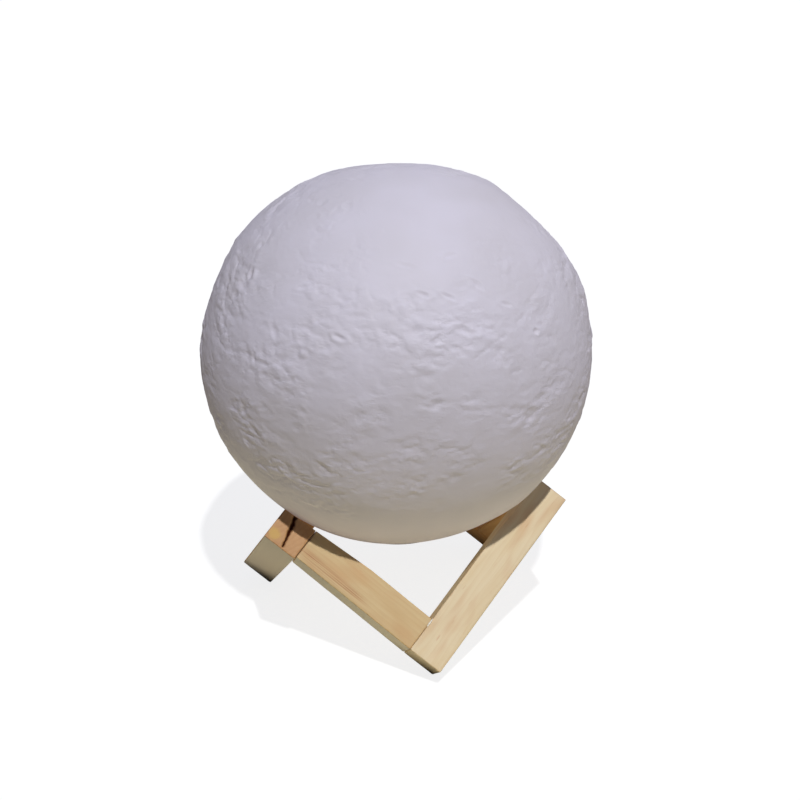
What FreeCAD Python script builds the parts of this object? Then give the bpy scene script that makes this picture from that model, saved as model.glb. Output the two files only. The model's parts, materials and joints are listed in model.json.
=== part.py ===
import FreeCAD, Part
import Sketcher
import math
import os
import re

# A moon lamp: a hollow, slightly squashed moon globe that rests loose on a
# zigzag ring of six pine bars. A round light unit is twisted into the globe
# from below. Millimetres, Z up. The origin is on the table, under the globe's
# axis, and the front foot of the stand points to -Y.

os.makedirs("parts", exist_ok=True)
doc = FreeCAD.newDocument("MoonLamp")
parts = []


# ---------------------------------------------------------------- sizes

SIZES = [
    # the globe
    ("globe_radius", 75, "half of the globe's width"),
    ("globe_half_height", 73.35, "the globe is a little flat"),
    ("shell_wall", 1.6, "moulded wall"),
    ("side_patch_depth", 1.4, "how far the flattened patch at the side is pushed in"),
    ("side_patch_heading", 10, "degrees from +X"),
    ("side_patch_rise", 40, "degrees above the globe's equator"),
    ("top_patch_depth", 1.8, "how far the flattened patch near the top is pushed in"),
    ("top_patch_heading", 87, "degrees from +X"),
    ("top_patch_rise", 66, "degrees above the globe's equator"),
    ("land_level", 68.4, "flat land round the opening, below the globe's centre"),
    ("opening_radius", 22, "hole in the bottom of the globe"),
    ("seat_drop", 46.2, "untrimmed top corners of the stand, below the globe's centre"),
    ("seat_gap", 0.15, "between the globe and the flat seats on those corners"),
    # the stand
    ("bar_width", 14.25, "square pine bar"),
    ("short_length", 55, "short bar, between two long ones"),
    ("edge_ease", 0.4, "rounded long edges of a bar"),
    ("foot_trim", 0.8, "height cut off the lowest corner of each foot"),
    ("dowel_radius", 3, "beech dowel"),
    ("dowel_reach", 10, "length of a dowel in each bar"),
    ("dowel_slack", 0.05, "around a dowel"),
    ("dowel_end_gap", 0.5, "between a dowel's end and the bottom of its hole"),
    # the collar glued into the globe's opening
    ("collar_radius", 21.9, "outside of the collar's tube"),
    ("collar_bore", 20.2, "inside of the collar's tube"),
    ("collar_height", 7.5, "tube above the land"),
    ("collar_flange_radius", 24.4, "flange under the land"),
    ("collar_flange_thick", 1.0, "flange under the land"),
    ("ledge_bore", 19.0, "inner edge of the three twist-lock ledges"),
    ("ledge_thick", 1.6, "height of a ledge"),
    ("ledge_angle", 35, "degrees that a ledge takes up"),
    # the housing of the light unit, measured up from its underside
    ("unit_drop", 71.1, "underside of the housing, below the globe's centre"),
    ("housing_radius", 18.7, "outside of the cup"),
    ("housing_wall", 1.5, "wall of the cup"),
    ("housing_height", 20.4, "top of the cup"),
    ("floor_thick", 1.6, "floor of the cup"),
    ("rim_radius", 24.0, "rim that covers the collar"),
    ("rim_thick", 1.5, "rim that covers the collar"),
    ("rim_ease", 0.5, "rounded edges of that rim"),
    ("lug_radius", 19.9, "outer edge of the three twist-lock lugs"),
    ("lug_level", 4.5, "underside of a lug"),
    ("lug_thick", 1.5, "height of a lug"),
    ("lug_angle", 30, "degrees that a lug takes up"),
    ("post_radius", 2.0, "posts under the control board"),
    ("post_ring", 14.8, "distance of the posts from the axis"),
    ("boss_radius", 2.4, "bosses for the lid's screws"),
    ("boss_ring", 15.0, "distance of the bosses from the axis"),
    ("boss_level", 12.0, "underside of a boss"),
    ("pilot_radius", 0.85, "screw hole in a post or boss"),
    ("pilot_depth", 5.5, "screw hole in a post or boss"),
    # push button and its switch
    ("button_radius", 6.0, "button cap"),
    ("button_slack", 0.1, "round the cap, and under its rim"),
    ("button_rim_radius", 7.2, "rim that keeps the cap in"),
    ("button_rim_thick", 0.9, "rim that keeps the cap in"),
    ("button_face", 0.2, "the cap's face lies this deep in the floor"),
    ("button_boss_radius", 2.2, "boss that pushes the switch"),
    ("button_top", 3.0, "top of the boss"),
    ("button_dish", 0.5, "depth of the finger dish"),
    ("button_ease", 0.4, "rounded edge of the cap"),
    ("switch_side", 6.0, "square switch body"),
    ("switch_level", 4.5, "underside of the switch body"),
    ("plunger_radius", 1.7, "switch plunger"),
    ("plunger_slack", 0.05, "round the plunger"),
    ("plunger_height", 2.4, "length of the plunger"),
    ("plunger_well", 2.0, "depth of the plunger's well"),
    # charging socket and status light
    ("socket_offset", 11.6, "socket, from the axis to +Y"),
    ("socket_length", 9.0, "outside of the metal shell"),
    ("socket_width", 3.3, "outside of the metal shell"),
    ("socket_wall", 0.35, "sheet thickness"),
    ("socket_level", 0.6, "mouth of the socket"),
    ("socket_depth", 5.2, "depth of the mouth"),
    ("tongue_length", 6.6, "contact tongue"),
    ("tongue_thick", 0.7, "contact tongue"),
    ("tongue_recess", 0.8, "the tongue starts this deep in the mouth"),
    ("slot_slack", 0.2, "round the socket in the floor"),
    ("light_offset", 12.0, "status light, from the axis to -Y"),
    ("light_radius", 1.5, "light pipe"),
    ("light_collar_radius", 2.2, "collar on the light pipe"),
    ("light_face", 0.1, "face of the light pipe"),
    # boards, battery, lid, lights
    ("board_level", 8.0, "underside of the control board"),
    ("board_radius", 16.6, "control board"),
    ("board_thick", 1.2, "control board"),
    ("pad_thick", 0.8, "foam pad under the battery"),
    ("battery_length", 24, "pouch cell"),
    ("battery_width", 15, "pouch cell"),
    ("battery_height", 6, "pouch cell"),
    ("battery_round", 1.2, "rounded corners of the cell"),
    ("lid_thick", 1.6, "lid of the cup"),
    ("lid_plug", 1.0, "part of the lid that enters the cup"),
    ("lid_slack", 0.1, "between the lid's plug and the cup"),
    ("wire_hole_radius", 2.4, "hole in the lid for the leads"),
    ("wire_offset", 10.2, "hole in the lid, from the axis to -Y"),
    ("lead_radius", 0.5, "insulated lead"),
    ("lead_spacing", 2.0, "between two leads"),
    ("lamp_board_radius", 12.8, "round light board"),
    ("lamp_board_thick", 1.2, "round light board"),
    ("lamp_length", 3.5, "one light chip"),
    ("lamp_width", 2.8, "one light chip"),
    ("lamp_thick", 0.8, "one light chip"),
    ("lamp_ring", 8.0, "ring of light chips"),
    ("dome_radius", 18.4, "diffuser dome"),
    ("dome_wall", 1.2, "diffuser dome"),
    ("screw_head_radius", 1.6, "pan head"),
    ("screw_head_thick", 1.1, "pan head"),
    ("screw_shank_radius", 0.8, "shank"),
    ("screw_length", 5.0, "shank under the board or lid"),
    ("pad_ring_outer", 23.2, "soft ring under the housing"),
    ("pad_ring_inner", 19.6, "soft ring under the housing"),
    ("pad_ring_thick", 0.4, "soft ring under the housing"),
]

# worked out from the sizes above
DERIVED = [
    ("bar_reach", "=short_length + bar_width", "far face of a bar, from the cube corner"),
    ("long_length", "=short_length + 2 * bar_width", "long bar"),
    ("lean_out", "=sqrt(2 / 3)", "a bar's sideways share of its length"),
    ("lean_up", "=sqrt(1 / 3)", "a bar's upward share of its length"),
    ("foot_reach", "=bar_reach * lean_out", "foot corner, from the axis"),
    ("rest_level", "=(bar_reach + 3 * bar_width) * lean_up - foot_trim",
     "top corners that carry the globe"),
    ("globe_level", "=rest_level + seat_drop", "centre of the globe"),
    ("seat_slope", "=atan(seat_drop / foot_reach)", "top corners, degrees below the globe's centre"),
    ("seat_level",
     "=seat_gap + sqrt((globe_radius * cos(seat_slope))^2 + (globe_half_height * sin(seat_slope))^2)",
     "flat seats, from the globe's centre"),
    ("side_patch_level",
     "=sqrt((globe_radius * cos(side_patch_rise))^2"
     " + (globe_half_height * sin(side_patch_rise))^2) - side_patch_depth",
     "flattened patch at the side, from the globe's centre"),
    ("top_patch_level",
     "=sqrt((globe_radius * cos(top_patch_rise))^2"
     " + (globe_half_height * sin(top_patch_rise))^2) - top_patch_depth",
     "flattened patch near the top, from the globe's centre"),
    ("land_z", "=globe_level - land_level", "flat land round the opening"),
    ("unit_z", "=globe_level - unit_drop", "underside of the housing"),
    ("lid_level", "=unit_z + housing_height", "top of the cup"),
    ("lamp_level", "=lid_level + lid_thick", "top of the lid"),
    ("board_top", "=board_level + board_thick", "top of the control board"),
]

sheet = doc.addObject("Spreadsheet::Sheet", "Sizes")
for row, (alias, value, note) in enumerate(SIZES + DERIVED, start=1):
    sheet.set(f"A{row}", alias)
    sheet.set(f"B{row}", str(value))
    sheet.setAlias(f"B{row}", alias)
    sheet.set(f"C{row}", note)
    if row > len(SIZES):
        doc.recompute()
doc.recompute()


def cell(formula):
    """Point each word that has an underscore at its cell in the sheet."""
    return re.sub(r"[a-z]+(?:_[a-z]+)+", r"Sizes.\g<0>", formula)


def number(formula):
    """The present value of a formula, in millimetres or degrees."""
    return float(sheet.evalExpression(cell(formula)))


def bind(thing, **formulas):
    """Tie properties of an object to formulas of the sheet."""
    for name, formula in formulas.items():
        thing.setExpression(name, cell(formula))
    return thing


def place(thing, x="0", y="0", z="0", turn=None):
    """Put an object at a point given as formulas, turned by a fixed rotation."""
    thing.Placement = FreeCAD.Placement(FreeCAD.Vector(), turn or FreeCAD.Rotation())
    for axis, formula in (("x", x), ("y", y), ("z", z)):
        thing.setExpression(f"Placement.Base.{axis}", cell(formula))
    return thing


def spin(degrees):
    """A rotation about the globe's axis."""
    return FreeCAD.Rotation(FreeCAD.Vector(0, 0, 1), degrees)


def make(kind, name, **formulas):
    thing = doc.addObject(kind, name)
    thing.Label = name
    return bind(thing, **formulas)


def cylinder(name, radius, height, x="0", y="0", z="0", turn=None):
    return place(make("Part::Cylinder", name, Radius=radius, Height=height), x, y, z, turn)


def box(name, length, width, height, x="0", y="0", z="0"):
    """A box that is centred on x and y and stands on z."""
    solid = make("Part::Box", name, Length=length, Width=width, Height=height)
    return place(solid, f"{x} - ({length}) / 2", f"{y} - ({width}) / 2", z)


def cut(name, base, tool):
    result = make("Part::Cut", name)
    result.Base = base
    result.Tool = tool
    return result


def fuse(name, shapes):
    result = make("Part::MultiFuse", name)
    result.Shapes = shapes
    return result


def group(name, shapes):
    """Separate solids that share one node, such as identical screws."""
    result = make("Part::Compound", name)
    result.Links = shapes
    return result


def ring(name, outer, inner, height, z):
    tall = f"({height}) + 2"
    return cut(name, cylinder(name + "_disc", outer, height, z=z),
               cylinder(name + "_bore", inner, tall, z=f"{z} - 1"))


def stadium(name, length, width, height, x, y, z):
    """A block whose two ends are round, as on a charging socket."""
    half = f"(({length}) - ({width})) / 2"
    middle = box(name + "_middle", f"({length}) - ({width})", width, height, x, y, z)
    ends = [cylinder(f"{name}_{side}_end", f"({width}) / 2", height, f"{x} {sign} {half}", y, z)
            for side, sign in (("left", "-"), ("right", "+"))]
    return fuse(name, [middle] + ends)


# ---------------------------------------------------------------- sketched bodies

def sketch_in(body, role, name, lift=None):
    """A sketch in one of the body's own planes, lifted off it by a formula."""
    sketch = body.newObject("Sketcher::SketchObject", name)
    plane = next(feature for feature in body.Origin.OriginFeatures if feature.Role == role)
    sketch.AttachmentSupport = [(plane, "")]
    sketch.MapMode = "FlatFace"
    if lift:
        sketch.setExpression("AttachmentOffset.Base.z", cell(lift))
    return sketch


def fix_point(sketch, line, point, x, y, name):
    """Hold a point of the sketch at formulas for x and y."""
    for kind, formula, axis in (("DistanceX", x, -2), ("DistanceY", y, -1)):
        if formula == "0":
            sketch.addConstraint(Sketcher.Constraint("PointOnObject", line, point, axis))
            continue
        index = sketch.addConstraint(Sketcher.Constraint(kind, line, point, number(formula)))
        title = f"{name}_{kind}"
        sketch.renameConstraint(index, title)
        sketch.setExpression(f"Constraints.{title}", cell(formula))


def outline(sketch, corners):
    """A closed outline with straight sides. Each corner is a pair of formulas."""
    points = [FreeCAD.Vector(number(x), number(y), 0) for x, y in corners]
    for index, start in enumerate(points):
        end = points[(index + 1) % len(points)]
        sketch.addGeometry(Part.LineSegment(start, end), False)
    for index, (x, y) in enumerate(corners):
        following = (index + 1) % len(corners)
        sketch.addConstraint(Sketcher.Constraint("Coincident", index, 2, following, 1))
        fix_point(sketch, index, 1, x, y, f"corner{index}")
    return sketch


def turned(name, corners, eased=(), ease=None):
    """A round body, turned from a half outline of radius and height pairs. Those in eased are rounded."""
    body = doc.addObject("PartDesign::Body", name)
    body.Label = name
    half = outline(sketch_in(body, "XZ_Plane", name + "_half"), corners)
    revolve = body.newObject("PartDesign::Revolution", name + "_turn")
    revolve.Profile = half
    revolve.ReferenceAxis = (half, ["V_Axis"])
    revolve.Angle = 360
    if eased:
        doc.recompute()
        rounding = body.newObject("PartDesign::Fillet", name + "_ease")
        rounding.Base = (revolve, rims(revolve.Shape, eased))
        bind(rounding, Radius=ease)
        doc.recompute()
    return body


def rims(shape, corners):
    """The names of the round edges that the turned corners leave, one for each corner."""
    names = []
    for radius, height in corners:
        spots = [f"Edge{index}" for index, edge in enumerate(shape.Edges, start=1)
                 if isinstance(edge.Curve, Part.Circle)
                 and abs(edge.Curve.Radius - number(radius)) < 0.01
                 and abs(edge.Curve.Center.z - number(height)) < 0.01]
        if len(spots) != 1:
            raise RuntimeError(f"{len(spots)} edges found at radius {radius}, height {height}")
        names += spots
    return names


def sawn(name, width, depth, length, ease):
    """A bar of rectangular section along its own Z, its long edges eased."""
    body = doc.addObject("PartDesign::Body", name)
    body.Label = name
    section = outline(sketch_in(body, "XY_Plane", name + "_section"),
                      [("0", "0"), (width, "0"), (width, depth), ("0", depth)])
    pad = body.newObject("PartDesign::Pad", name + "_length")
    pad.Profile = section
    bind(pad, Length=length)
    doc.recompute()
    edges = [f"Edge{index}" for index, edge in enumerate(pad.Shape.Edges, start=1)
             if abs(edge.tangentAt(edge.FirstParameter).z) > 0.9]
    eased = body.newObject("PartDesign::Fillet", name + "_ease")
    eased.Base = (pad, edges)
    bind(eased, Radius=ease)
    doc.recompute()
    return body


def drilled(body, name, role, lift, x, y, upwards=False):
    """A dowel hole into a bar, from a plane lifted to the face that is drilled."""
    before = body.Shape.Volume
    sketch = sketch_in(body, role, name + "_mark", lift)
    sketch.addGeometry(Part.Circle(FreeCAD.Vector(number(x), number(y), 0),
                                   FreeCAD.Vector(0, 0, 1), number("dowel_radius + dowel_slack")), False)
    fix_point(sketch, 0, 3, x, y, "centre")
    index = sketch.addConstraint(Sketcher.Constraint("Radius", 0, number("dowel_radius")))
    sketch.renameConstraint(index, "hole_radius")
    sketch.setExpression("Constraints.hole_radius", cell("dowel_radius + dowel_slack"))
    hole = body.newObject("PartDesign::Pocket", name)
    hole.Profile = sketch
    hole.Reversed = upwards
    bind(hole, Length="dowel_reach + dowel_end_gap")
    doc.recompute()
    expected = math.pi * number("dowel_radius + dowel_slack") ** 2 * number("dowel_reach + dowel_end_gap")
    removed = before - body.Shape.Volume
    if abs(removed - expected) > 0.05 * expected:
        raise RuntimeError(f"{name} removed {removed:.0f} mm3 where {expected:.0f} was expected")


# ---------------------------------------------------------------- the stand

# The bars lie on six of the twelve edges of a cube that balances on one corner:
# the six that touch neither the lowest nor the highest corner. So every bar
# leans at the same 35 degrees, and each foot is a corner where two bars meet.

FEET = {"front": -90, "right": 30, "left": 150}


def cube_axes(heading):
    """The three edge directions of the cube, the first one over this foot."""
    lean_out = number("lean_out")
    lean_up = number("lean_up")
    axes = []
    for step in (0, 120, 240):
        angle = math.radians(heading + step)
        axes.append(FreeCAD.Vector(lean_out * math.cos(angle), lean_out * math.sin(angle), lean_up))
    return axes


def from_foot(heading, first, second, third):
    """Formulas for a point, counted from a foot's lowest corner along the cube's axes."""
    steps = ((first, heading), (second, heading + 120), (third, heading + 240))
    x = " + ".join(f"({size}) * lean_out * cos({angle})" for size, angle in steps)
    y = " + ".join(f"({size}) * lean_out * sin({angle})" for size, angle in steps)
    z = f"(({first}) + ({second}) + ({third})) * lean_up - foot_trim"
    return f"foot_reach * cos({heading}) + {x}", f"foot_reach * sin({heading}) + {y}", z


def along(x_axis, y_axis, z_axis):
    return FreeCAD.Rotation(x_axis, y_axis, z_axis, "ZXY")


def from_globe(distance, heading, rise):
    """Formulas for a point this far from the globe's centre."""
    return (f"{distance} * cos({rise}) * cos({heading})", f"{distance} * cos({rise}) * sin({heading})",
            f"globe_level + {distance} * sin({rise})")


def facing(heading, rise):
    """A rotation that points an object's own Z away from the globe's centre."""
    tilt = FreeCAD.Rotation(FreeCAD.Vector(0, 1, 0), 90 - number(rise))
    return spin(number(heading)) * tilt


ground = box("table_top", "3 * globe_radius", "3 * globe_radius", "bar_width", z="-bar_width")
half_bar = "bar_width / 2"
glued_dowels = []
plug_dowels = []

for side, heading in FEET.items():
    first, second, third = cube_axes(heading)

    # the long bar runs from the foot up to the top corner on its right
    long_bar = sawn(f"{side}_long_bar_sawn", "bar_width", "bar_width", "long_length", "edge_ease")
    drilled(long_bar, f"{side}_foot_hole", "YZ_Plane", "bar_width", half_bar, half_bar)
    drilled(long_bar, f"{side}_top_hole", "XZ_Plane", None, half_bar, "short_length + 1.5 * bar_width")
    place(long_bar, *from_foot(heading, "0", "0", "0"), along(third, first, second))

    # the foot is trimmed to stand flat, the top corner to a small seat for the globe
    over_corner = str(heading + 60)
    seat = cylinder(f"{side}_seat", "3 * bar_width", "3 * bar_width",
                    *from_globe("(seat_level - 3 * bar_width)", over_corner, "-seat_slope"),
                    facing(over_corner, "-seat_slope"))
    parts.append(cut(f"{side}_long_bar", long_bar, fuse(f"{side}_trims", [ground, seat])))

    # the short bar butts against the long bar's foot and rises to the left
    short_bar = sawn(f"{side}_short_bar", "bar_width", "bar_width", "short_length", "edge_ease")
    drilled(short_bar, f"{side}_glued_end", "XY_Plane", None, half_bar, half_bar, upwards=True)
    drilled(short_bar, f"{side}_plug_end", "XY_Plane", "short_length", half_bar, half_bar)
    parts.append(place(short_bar, *from_foot(heading, "0", "0", "bar_width"), along(first, second, third)))

    # one dowel is glued through the foot, the other plugs into the next long bar
    foot_dowel = cylinder(f"{side}_foot_dowel", "dowel_radius", "2 * dowel_reach",
                          *from_foot(heading, half_bar, half_bar, "bar_width - dowel_reach"),
                          along(first, second, third))
    glued_dowels.append(foot_dowel)
    top_dowel = cylinder(f"{side}_top_dowel", "dowel_radius", "2 * dowel_reach",
                         *from_foot(heading, "-dowel_reach", "short_length + 1.5 * bar_width", half_bar),
                         along(second, third, first))
    plug_dowels.append(top_dowel)

parts.append(group("foot_dowels", glued_dowels))
parts.append(group("plug_dowels", plug_dowels))


# ---------------------------------------------------------------- the globe

def globe_form(name, wall):
    """The squashed globe with its two flattened patches, drawn in by a wall."""
    solid = make("Part::Ellipsoid", name + "_full", Radius1=f"globe_half_height - {wall}",
                 Radius2=f"globe_radius - {wall}", Radius3=f"globe_radius - {wall}")
    place(solid, z="globe_level")
    planes = [cylinder(f"{name}_{patch}", "globe_radius", "bar_width",
                       *from_globe(f"({patch}_level - {wall})", f"{patch}_heading", f"{patch}_rise"),
                       facing(f"{patch}_heading", f"{patch}_rise"))
              for patch in ("side_patch", "top_patch")]
    return cut(name, solid, fuse(name + "_patches", planes))


below_land = cylinder("below_land", "globe_radius", "bar_width", z="land_z - bar_width")
opening = cylinder("opening", "opening_radius", "bar_width", z="land_z - 1")
hollow = globe_form("globe_hollow", "shell_wall")
shell_tools = fuse("shell_tools", [below_land, opening, hollow])
parts.append(cut("moon_shell", globe_form("globe_outside", "0"), shell_tools))


def sectors(name, outer, inner, height, angle, z):
    """Three equal teeth on a ring, one over each foot."""
    teeth = []
    for side, heading in FEET.items():
        tooth = cylinder(f"{name}_{side}", outer, height, z=z, turn=spin(heading - number(angle) / 2))
        teeth.append(bind(tooth, Angle=angle))
    middle = cylinder(name + "_middle", inner, f"({height}) + 2", z=f"{z} - 1")
    return cut(name, fuse(name + "_teeth", teeth), middle)


collar_tube = turned("collar_tube", [
    ("collar_bore", "-collar_flange_thick"),
    ("collar_flange_radius", "-collar_flange_thick"),
    ("collar_flange_radius", "0"),
    ("collar_radius", "0"),
    ("collar_radius", "collar_height"),
    ("collar_bore", "collar_height"),
])
place(collar_tube, z="land_z")
ledges = sectors("ledges", "(collar_bore + collar_radius) / 2", "ledge_bore", "ledge_thick",
                 "ledge_angle", "land_z")
parts.append(fuse("collar_ring", [collar_tube, ledges]))


# ---------------------------------------------------------------- the light unit

POSTS = (0, 140, 220)
BOSSES = (60, 180, 300)


def round_row(name, angles, distance, radius, height, z):
    """Upright cylinders at these angles, all at one distance from the axis."""
    return [cylinder(f"{name}_{angle}", radius, height, f"{distance} * cos({angle})",
                     f"{distance} * sin({angle})", z) for angle in angles]


cup = turned("housing_cup", [
    ("0", "0"),
    ("rim_radius", "0"),
    ("rim_radius", "rim_thick"),
    ("housing_radius", "rim_thick"),
    ("housing_radius", "housing_height"),
    ("housing_radius - housing_wall", "housing_height"),
    ("housing_radius - housing_wall", "floor_thick"),
    ("0", "floor_thick"),
], eased=[("rim_radius", "0"), ("rim_radius", "rim_thick")], ease="rim_ease")
place(cup, z="unit_z")
lugs = sectors("lugs", "lug_radius", "housing_radius - housing_wall / 2", "lug_thick", "lug_angle",
               "unit_z + lug_level")
posts = round_row("post", POSTS, "post_ring", "post_radius", "board_level - floor_thick / 2",
                  "unit_z + floor_thick / 2")
bosses = round_row("boss", BOSSES, "boss_ring", "boss_radius",
                   "housing_height - lid_plug - boss_level", "unit_z + boss_level")
pilots = round_row("post_pilot", POSTS, "post_ring", "pilot_radius", "pilot_depth",
                   "unit_z + board_level - pilot_depth")
pilots += round_row("boss_pilot", BOSSES, "boss_ring", "pilot_radius", "pilot_depth + lid_plug",
                    "unit_z + housing_height - lid_plug - pilot_depth")
through_floor = "floor_thick + 2"
button_hole = cylinder("button_hole", "button_radius + button_slack", through_floor, z="unit_z - 1")
light_hole = cylinder("light_hole", "light_radius + button_slack", through_floor,
                      y="-light_offset", z="unit_z - 1")
socket_slot = stadium("socket_slot", "socket_length + 2 * slot_slack", "socket_width + 2 * slot_slack",
                      through_floor, "0", "socket_offset", "unit_z - 1")
housing_solid = fuse("housing_solid", [cup, lugs] + posts + bosses)
housing_tools = fuse("housing_tools", pilots + [button_hole, light_hole, socket_slot])
parts.append(cut("unit_housing", housing_solid, housing_tools))

parts.append(ring("soft_ring", "pad_ring_outer", "pad_ring_inner", "pad_ring_thick",
                  "unit_z - pad_ring_thick"))

# the button and the plunger that it pushes travel together
rim_under = "floor_thick + button_slack"
button = turned("push_button", [
    ("0", "button_face + button_dish"),
    ("button_radius - 1.2", "button_face"),
    ("button_radius", "button_face"),
    ("button_radius", rim_under),
    ("button_rim_radius", rim_under),
    ("button_rim_radius", rim_under + " + button_rim_thick"),
    ("button_boss_radius", rim_under + " + button_rim_thick"),
    ("button_boss_radius", "button_top"),
    ("0", "button_top"),
], eased=[("button_radius", "button_face")], ease="button_ease")
parts.append(place(button, z="unit_z"))
parts.append(cylinder("switch_plunger", "plunger_radius", "plunger_height", z="unit_z + button_top"))

switch_block = box("switch_block", "switch_side", "switch_side", "board_level - switch_level",
                   z="unit_z + switch_level")
well = cylinder("plunger_well_hole", "plunger_radius + plunger_slack", "plunger_well + 1",
                z="unit_z + switch_level - 1")
parts.append(cut("tact_switch", switch_block, well))

# the charging socket stands on its pins, with its mouth in the floor's slot
socket_block = stadium("socket_block", "socket_length", "socket_width", "board_level - socket_level",
                       "0", "socket_offset", "unit_z + socket_level")
mouth = stadium("socket_mouth", "socket_length - 2 * socket_wall", "socket_width - 2 * socket_wall",
                "socket_depth + 1", "0", "socket_offset", "unit_z + socket_level - 1")
tongue = box("socket_tongue", "tongue_length", "tongue_thick", "socket_depth - tongue_recess + 1",
             y="socket_offset", z="unit_z + socket_level + tongue_recess")
parts.append(fuse("charging_socket", [cut("socket_shell", socket_block, mouth), tongue]))

light_pipe = cylinder("light_pipe", "light_radius", "board_level - light_face", y="-light_offset",
                      z="unit_z + light_face")
light_collar = cylinder("light_collar", "light_collar_radius", "button_rim_thick", y="-light_offset",
                        z="unit_z + floor_thick")
parts.append(fuse("status_light", [light_pipe, light_collar]))

# the control board, with the battery on a foam pad above it
board = cylinder("board_disc", "board_radius", "board_thick", z="unit_z + board_level")
board_holes = round_row("board_hole", POSTS, "post_ring", "pilot_radius", "board_thick + 2",
                        "unit_z + board_level - 1")
parts.append(cut("control_board", board, fuse("board_holes", board_holes)))
parts.append(box("battery_pad", "battery_length", "battery_width", "pad_thick",
                 z="unit_z + board_top"))
battery = sawn("battery", "battery_width", "battery_height", "battery_length", "battery_round")
parts.append(place(battery, "-battery_length / 2", "-battery_width / 2",
                   "unit_z + board_top + pad_thick",
                   along(FreeCAD.Vector(0, 1, 0), FreeCAD.Vector(0, 0, 1), FreeCAD.Vector(1, 0, 0))))

# the lid carries the lights
lid = turned("lid_disc", [
    ("0", "-lid_plug"),
    ("housing_radius - housing_wall - lid_slack", "-lid_plug"),
    ("housing_radius - housing_wall - lid_slack", "0"),
    ("housing_radius", "0"),
    ("housing_radius", "lid_thick"),
    ("0", "lid_thick"),
])
place(lid, z="lid_level")
lid_holes = round_row("lid_hole", BOSSES, "boss_ring", "pilot_radius", "lid_plug + lid_thick + 2",
                      "lid_level - lid_plug - 1")
wire_hole = cylinder("wire_hole", "wire_hole_radius", "lid_plug + lid_thick + 2", y="-wire_offset",
                     z="lid_level - lid_plug - 1")
parts.append(cut("unit_lid", lid, fuse("lid_holes", lid_holes + [wire_hole])))
parts.append(cylinder("light_board", "lamp_board_radius", "lamp_board_thick", z="lamp_level"))

lamps = [box("lamp_middle", "lamp_length", "lamp_width", "lamp_thick",
             z="lamp_level + lamp_board_thick")]
for step in range(8):
    angle = 45 * step
    lamps.append(box(f"lamp_{step}", "lamp_length", "lamp_width", "lamp_thick",
                     f"lamp_ring * cos({angle})", f"lamp_ring * sin({angle})",
                     "lamp_level + lamp_board_thick"))
parts.append(group("light_chips", lamps))

dome_outside = make("Part::Sphere", "dome_outside", Radius="dome_radius")
dome_outside.Angle1 = 0
place(dome_outside, z="lamp_level")
dome_inside = place(make("Part::Sphere", "dome_inside", Radius="dome_radius - dome_wall"),
                    z="lamp_level")
parts.append(cut("diffuser_dome", dome_outside, dome_inside))


def screws(name, angles, distance, level):
    """Pan head screws, their heads on this level."""
    solids = []
    for angle in angles:
        screw = turned(f"{name}_{angle}", [
            ("0", "-screw_length"),
            ("screw_shank_radius", "-screw_length"),
            ("screw_shank_radius", "0"),
            ("screw_head_radius", "0"),
            ("screw_head_radius", "screw_head_thick / 2"),
            ("screw_head_radius - screw_head_thick / 2", "screw_head_thick"),
            ("0", "screw_head_thick"),
        ])
        solids.append(place(screw, f"{distance} * cos({angle})", f"{distance} * sin({angle})", level))
    return group(name, solids)


parts.append(screws("board_screws", POSTS, "post_ring", "unit_z + board_top"))
parts.append(screws("lid_screws", BOSSES, "boss_ring", "lamp_level"))


# ---------------------------------------------------------------- leads

def lead(name, points):
    """An insulated lead along straight runs, with one round bend where it turns."""
    radius = number("lead_radius")
    start, corner, end = points
    bend = 2.4 * radius
    incoming = (corner - start).normalize()
    outgoing = (end - corner).normalize()
    before = corner - incoming * bend
    after = corner + outgoing * bend
    middle = corner + (outgoing - incoming) * bend * (1 - math.sqrt(0.5))
    path = Part.Wire([
        Part.LineSegment(start, before).toShape(),
        Part.Arc(before, middle, after).toShape(),
        Part.LineSegment(after, end).toShape(),
    ])
    section = Part.Wire([Part.makeCircle(radius, start, incoming)])
    solid = doc.addObject("Part::Feature", name)
    solid.Label = name
    solid.Shape = path.makePipeShell([section], True, False)
    return solid


def battery_lead(name, y):
    """From the end of the battery, over its edge and down to the control board."""
    cell_end = number("battery_length / 2")
    cell_middle = number("unit_z + board_top + pad_thick + battery_height / 2")
    outer = cell_end + 3 * number("lead_radius")
    points = [FreeCAD.Vector(cell_end, y, cell_middle), FreeCAD.Vector(outer, y, cell_middle),
              FreeCAD.Vector(outer, y, number("unit_z + board_top"))]
    return lead(name, points)


lead_offset = number("battery_width / 4")
parts.append(group("battery_leads", [battery_lead("battery_lead_red", lead_offset),
                                     battery_lead("battery_lead_black", -lead_offset)]))

lamp_leads = [cylinder(f"lamp_lead_{side}", "lead_radius", "lamp_level - unit_z - board_top",
                       f"{sign}lead_spacing / 2", "-wire_offset", "unit_z + board_top")
              for side, sign in (("left", "-"), ("right", ""))]
parts.append(group("lamp_leads", lamp_leads))


# ---------------------------------------------------------------- test and write

doc.recompute()

for thing in doc.Objects:
    if "Invalid" in thing.State or "Error" in thing.State:
        raise RuntimeError(f"{thing.Label} could not be worked out")

labels = [part.Label for part in parts]
if len(set(labels)) != len(labels):
    raise RuntimeError("two parts share one name")

for part in parts:
    if part.Shape.isNull() or not part.Shape.isValid():
        raise RuntimeError(f"{part.Label} has no sound solid")

for old in os.listdir("parts"):
    if old.endswith(".step"):
        os.remove(os.path.join("parts", old))

for part in parts:
    part.Shape.exportStep(os.path.join("parts", part.Label + ".step"))
    bounds = part.Shape.BoundBox
    print(f"{part.Label:18} {len(part.Shape.Solids)} solids {part.Shape.Volume:9.0f} mm3  "
          f"z {bounds.ZMin:7.2f} to {bounds.ZMax:7.2f}")
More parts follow.
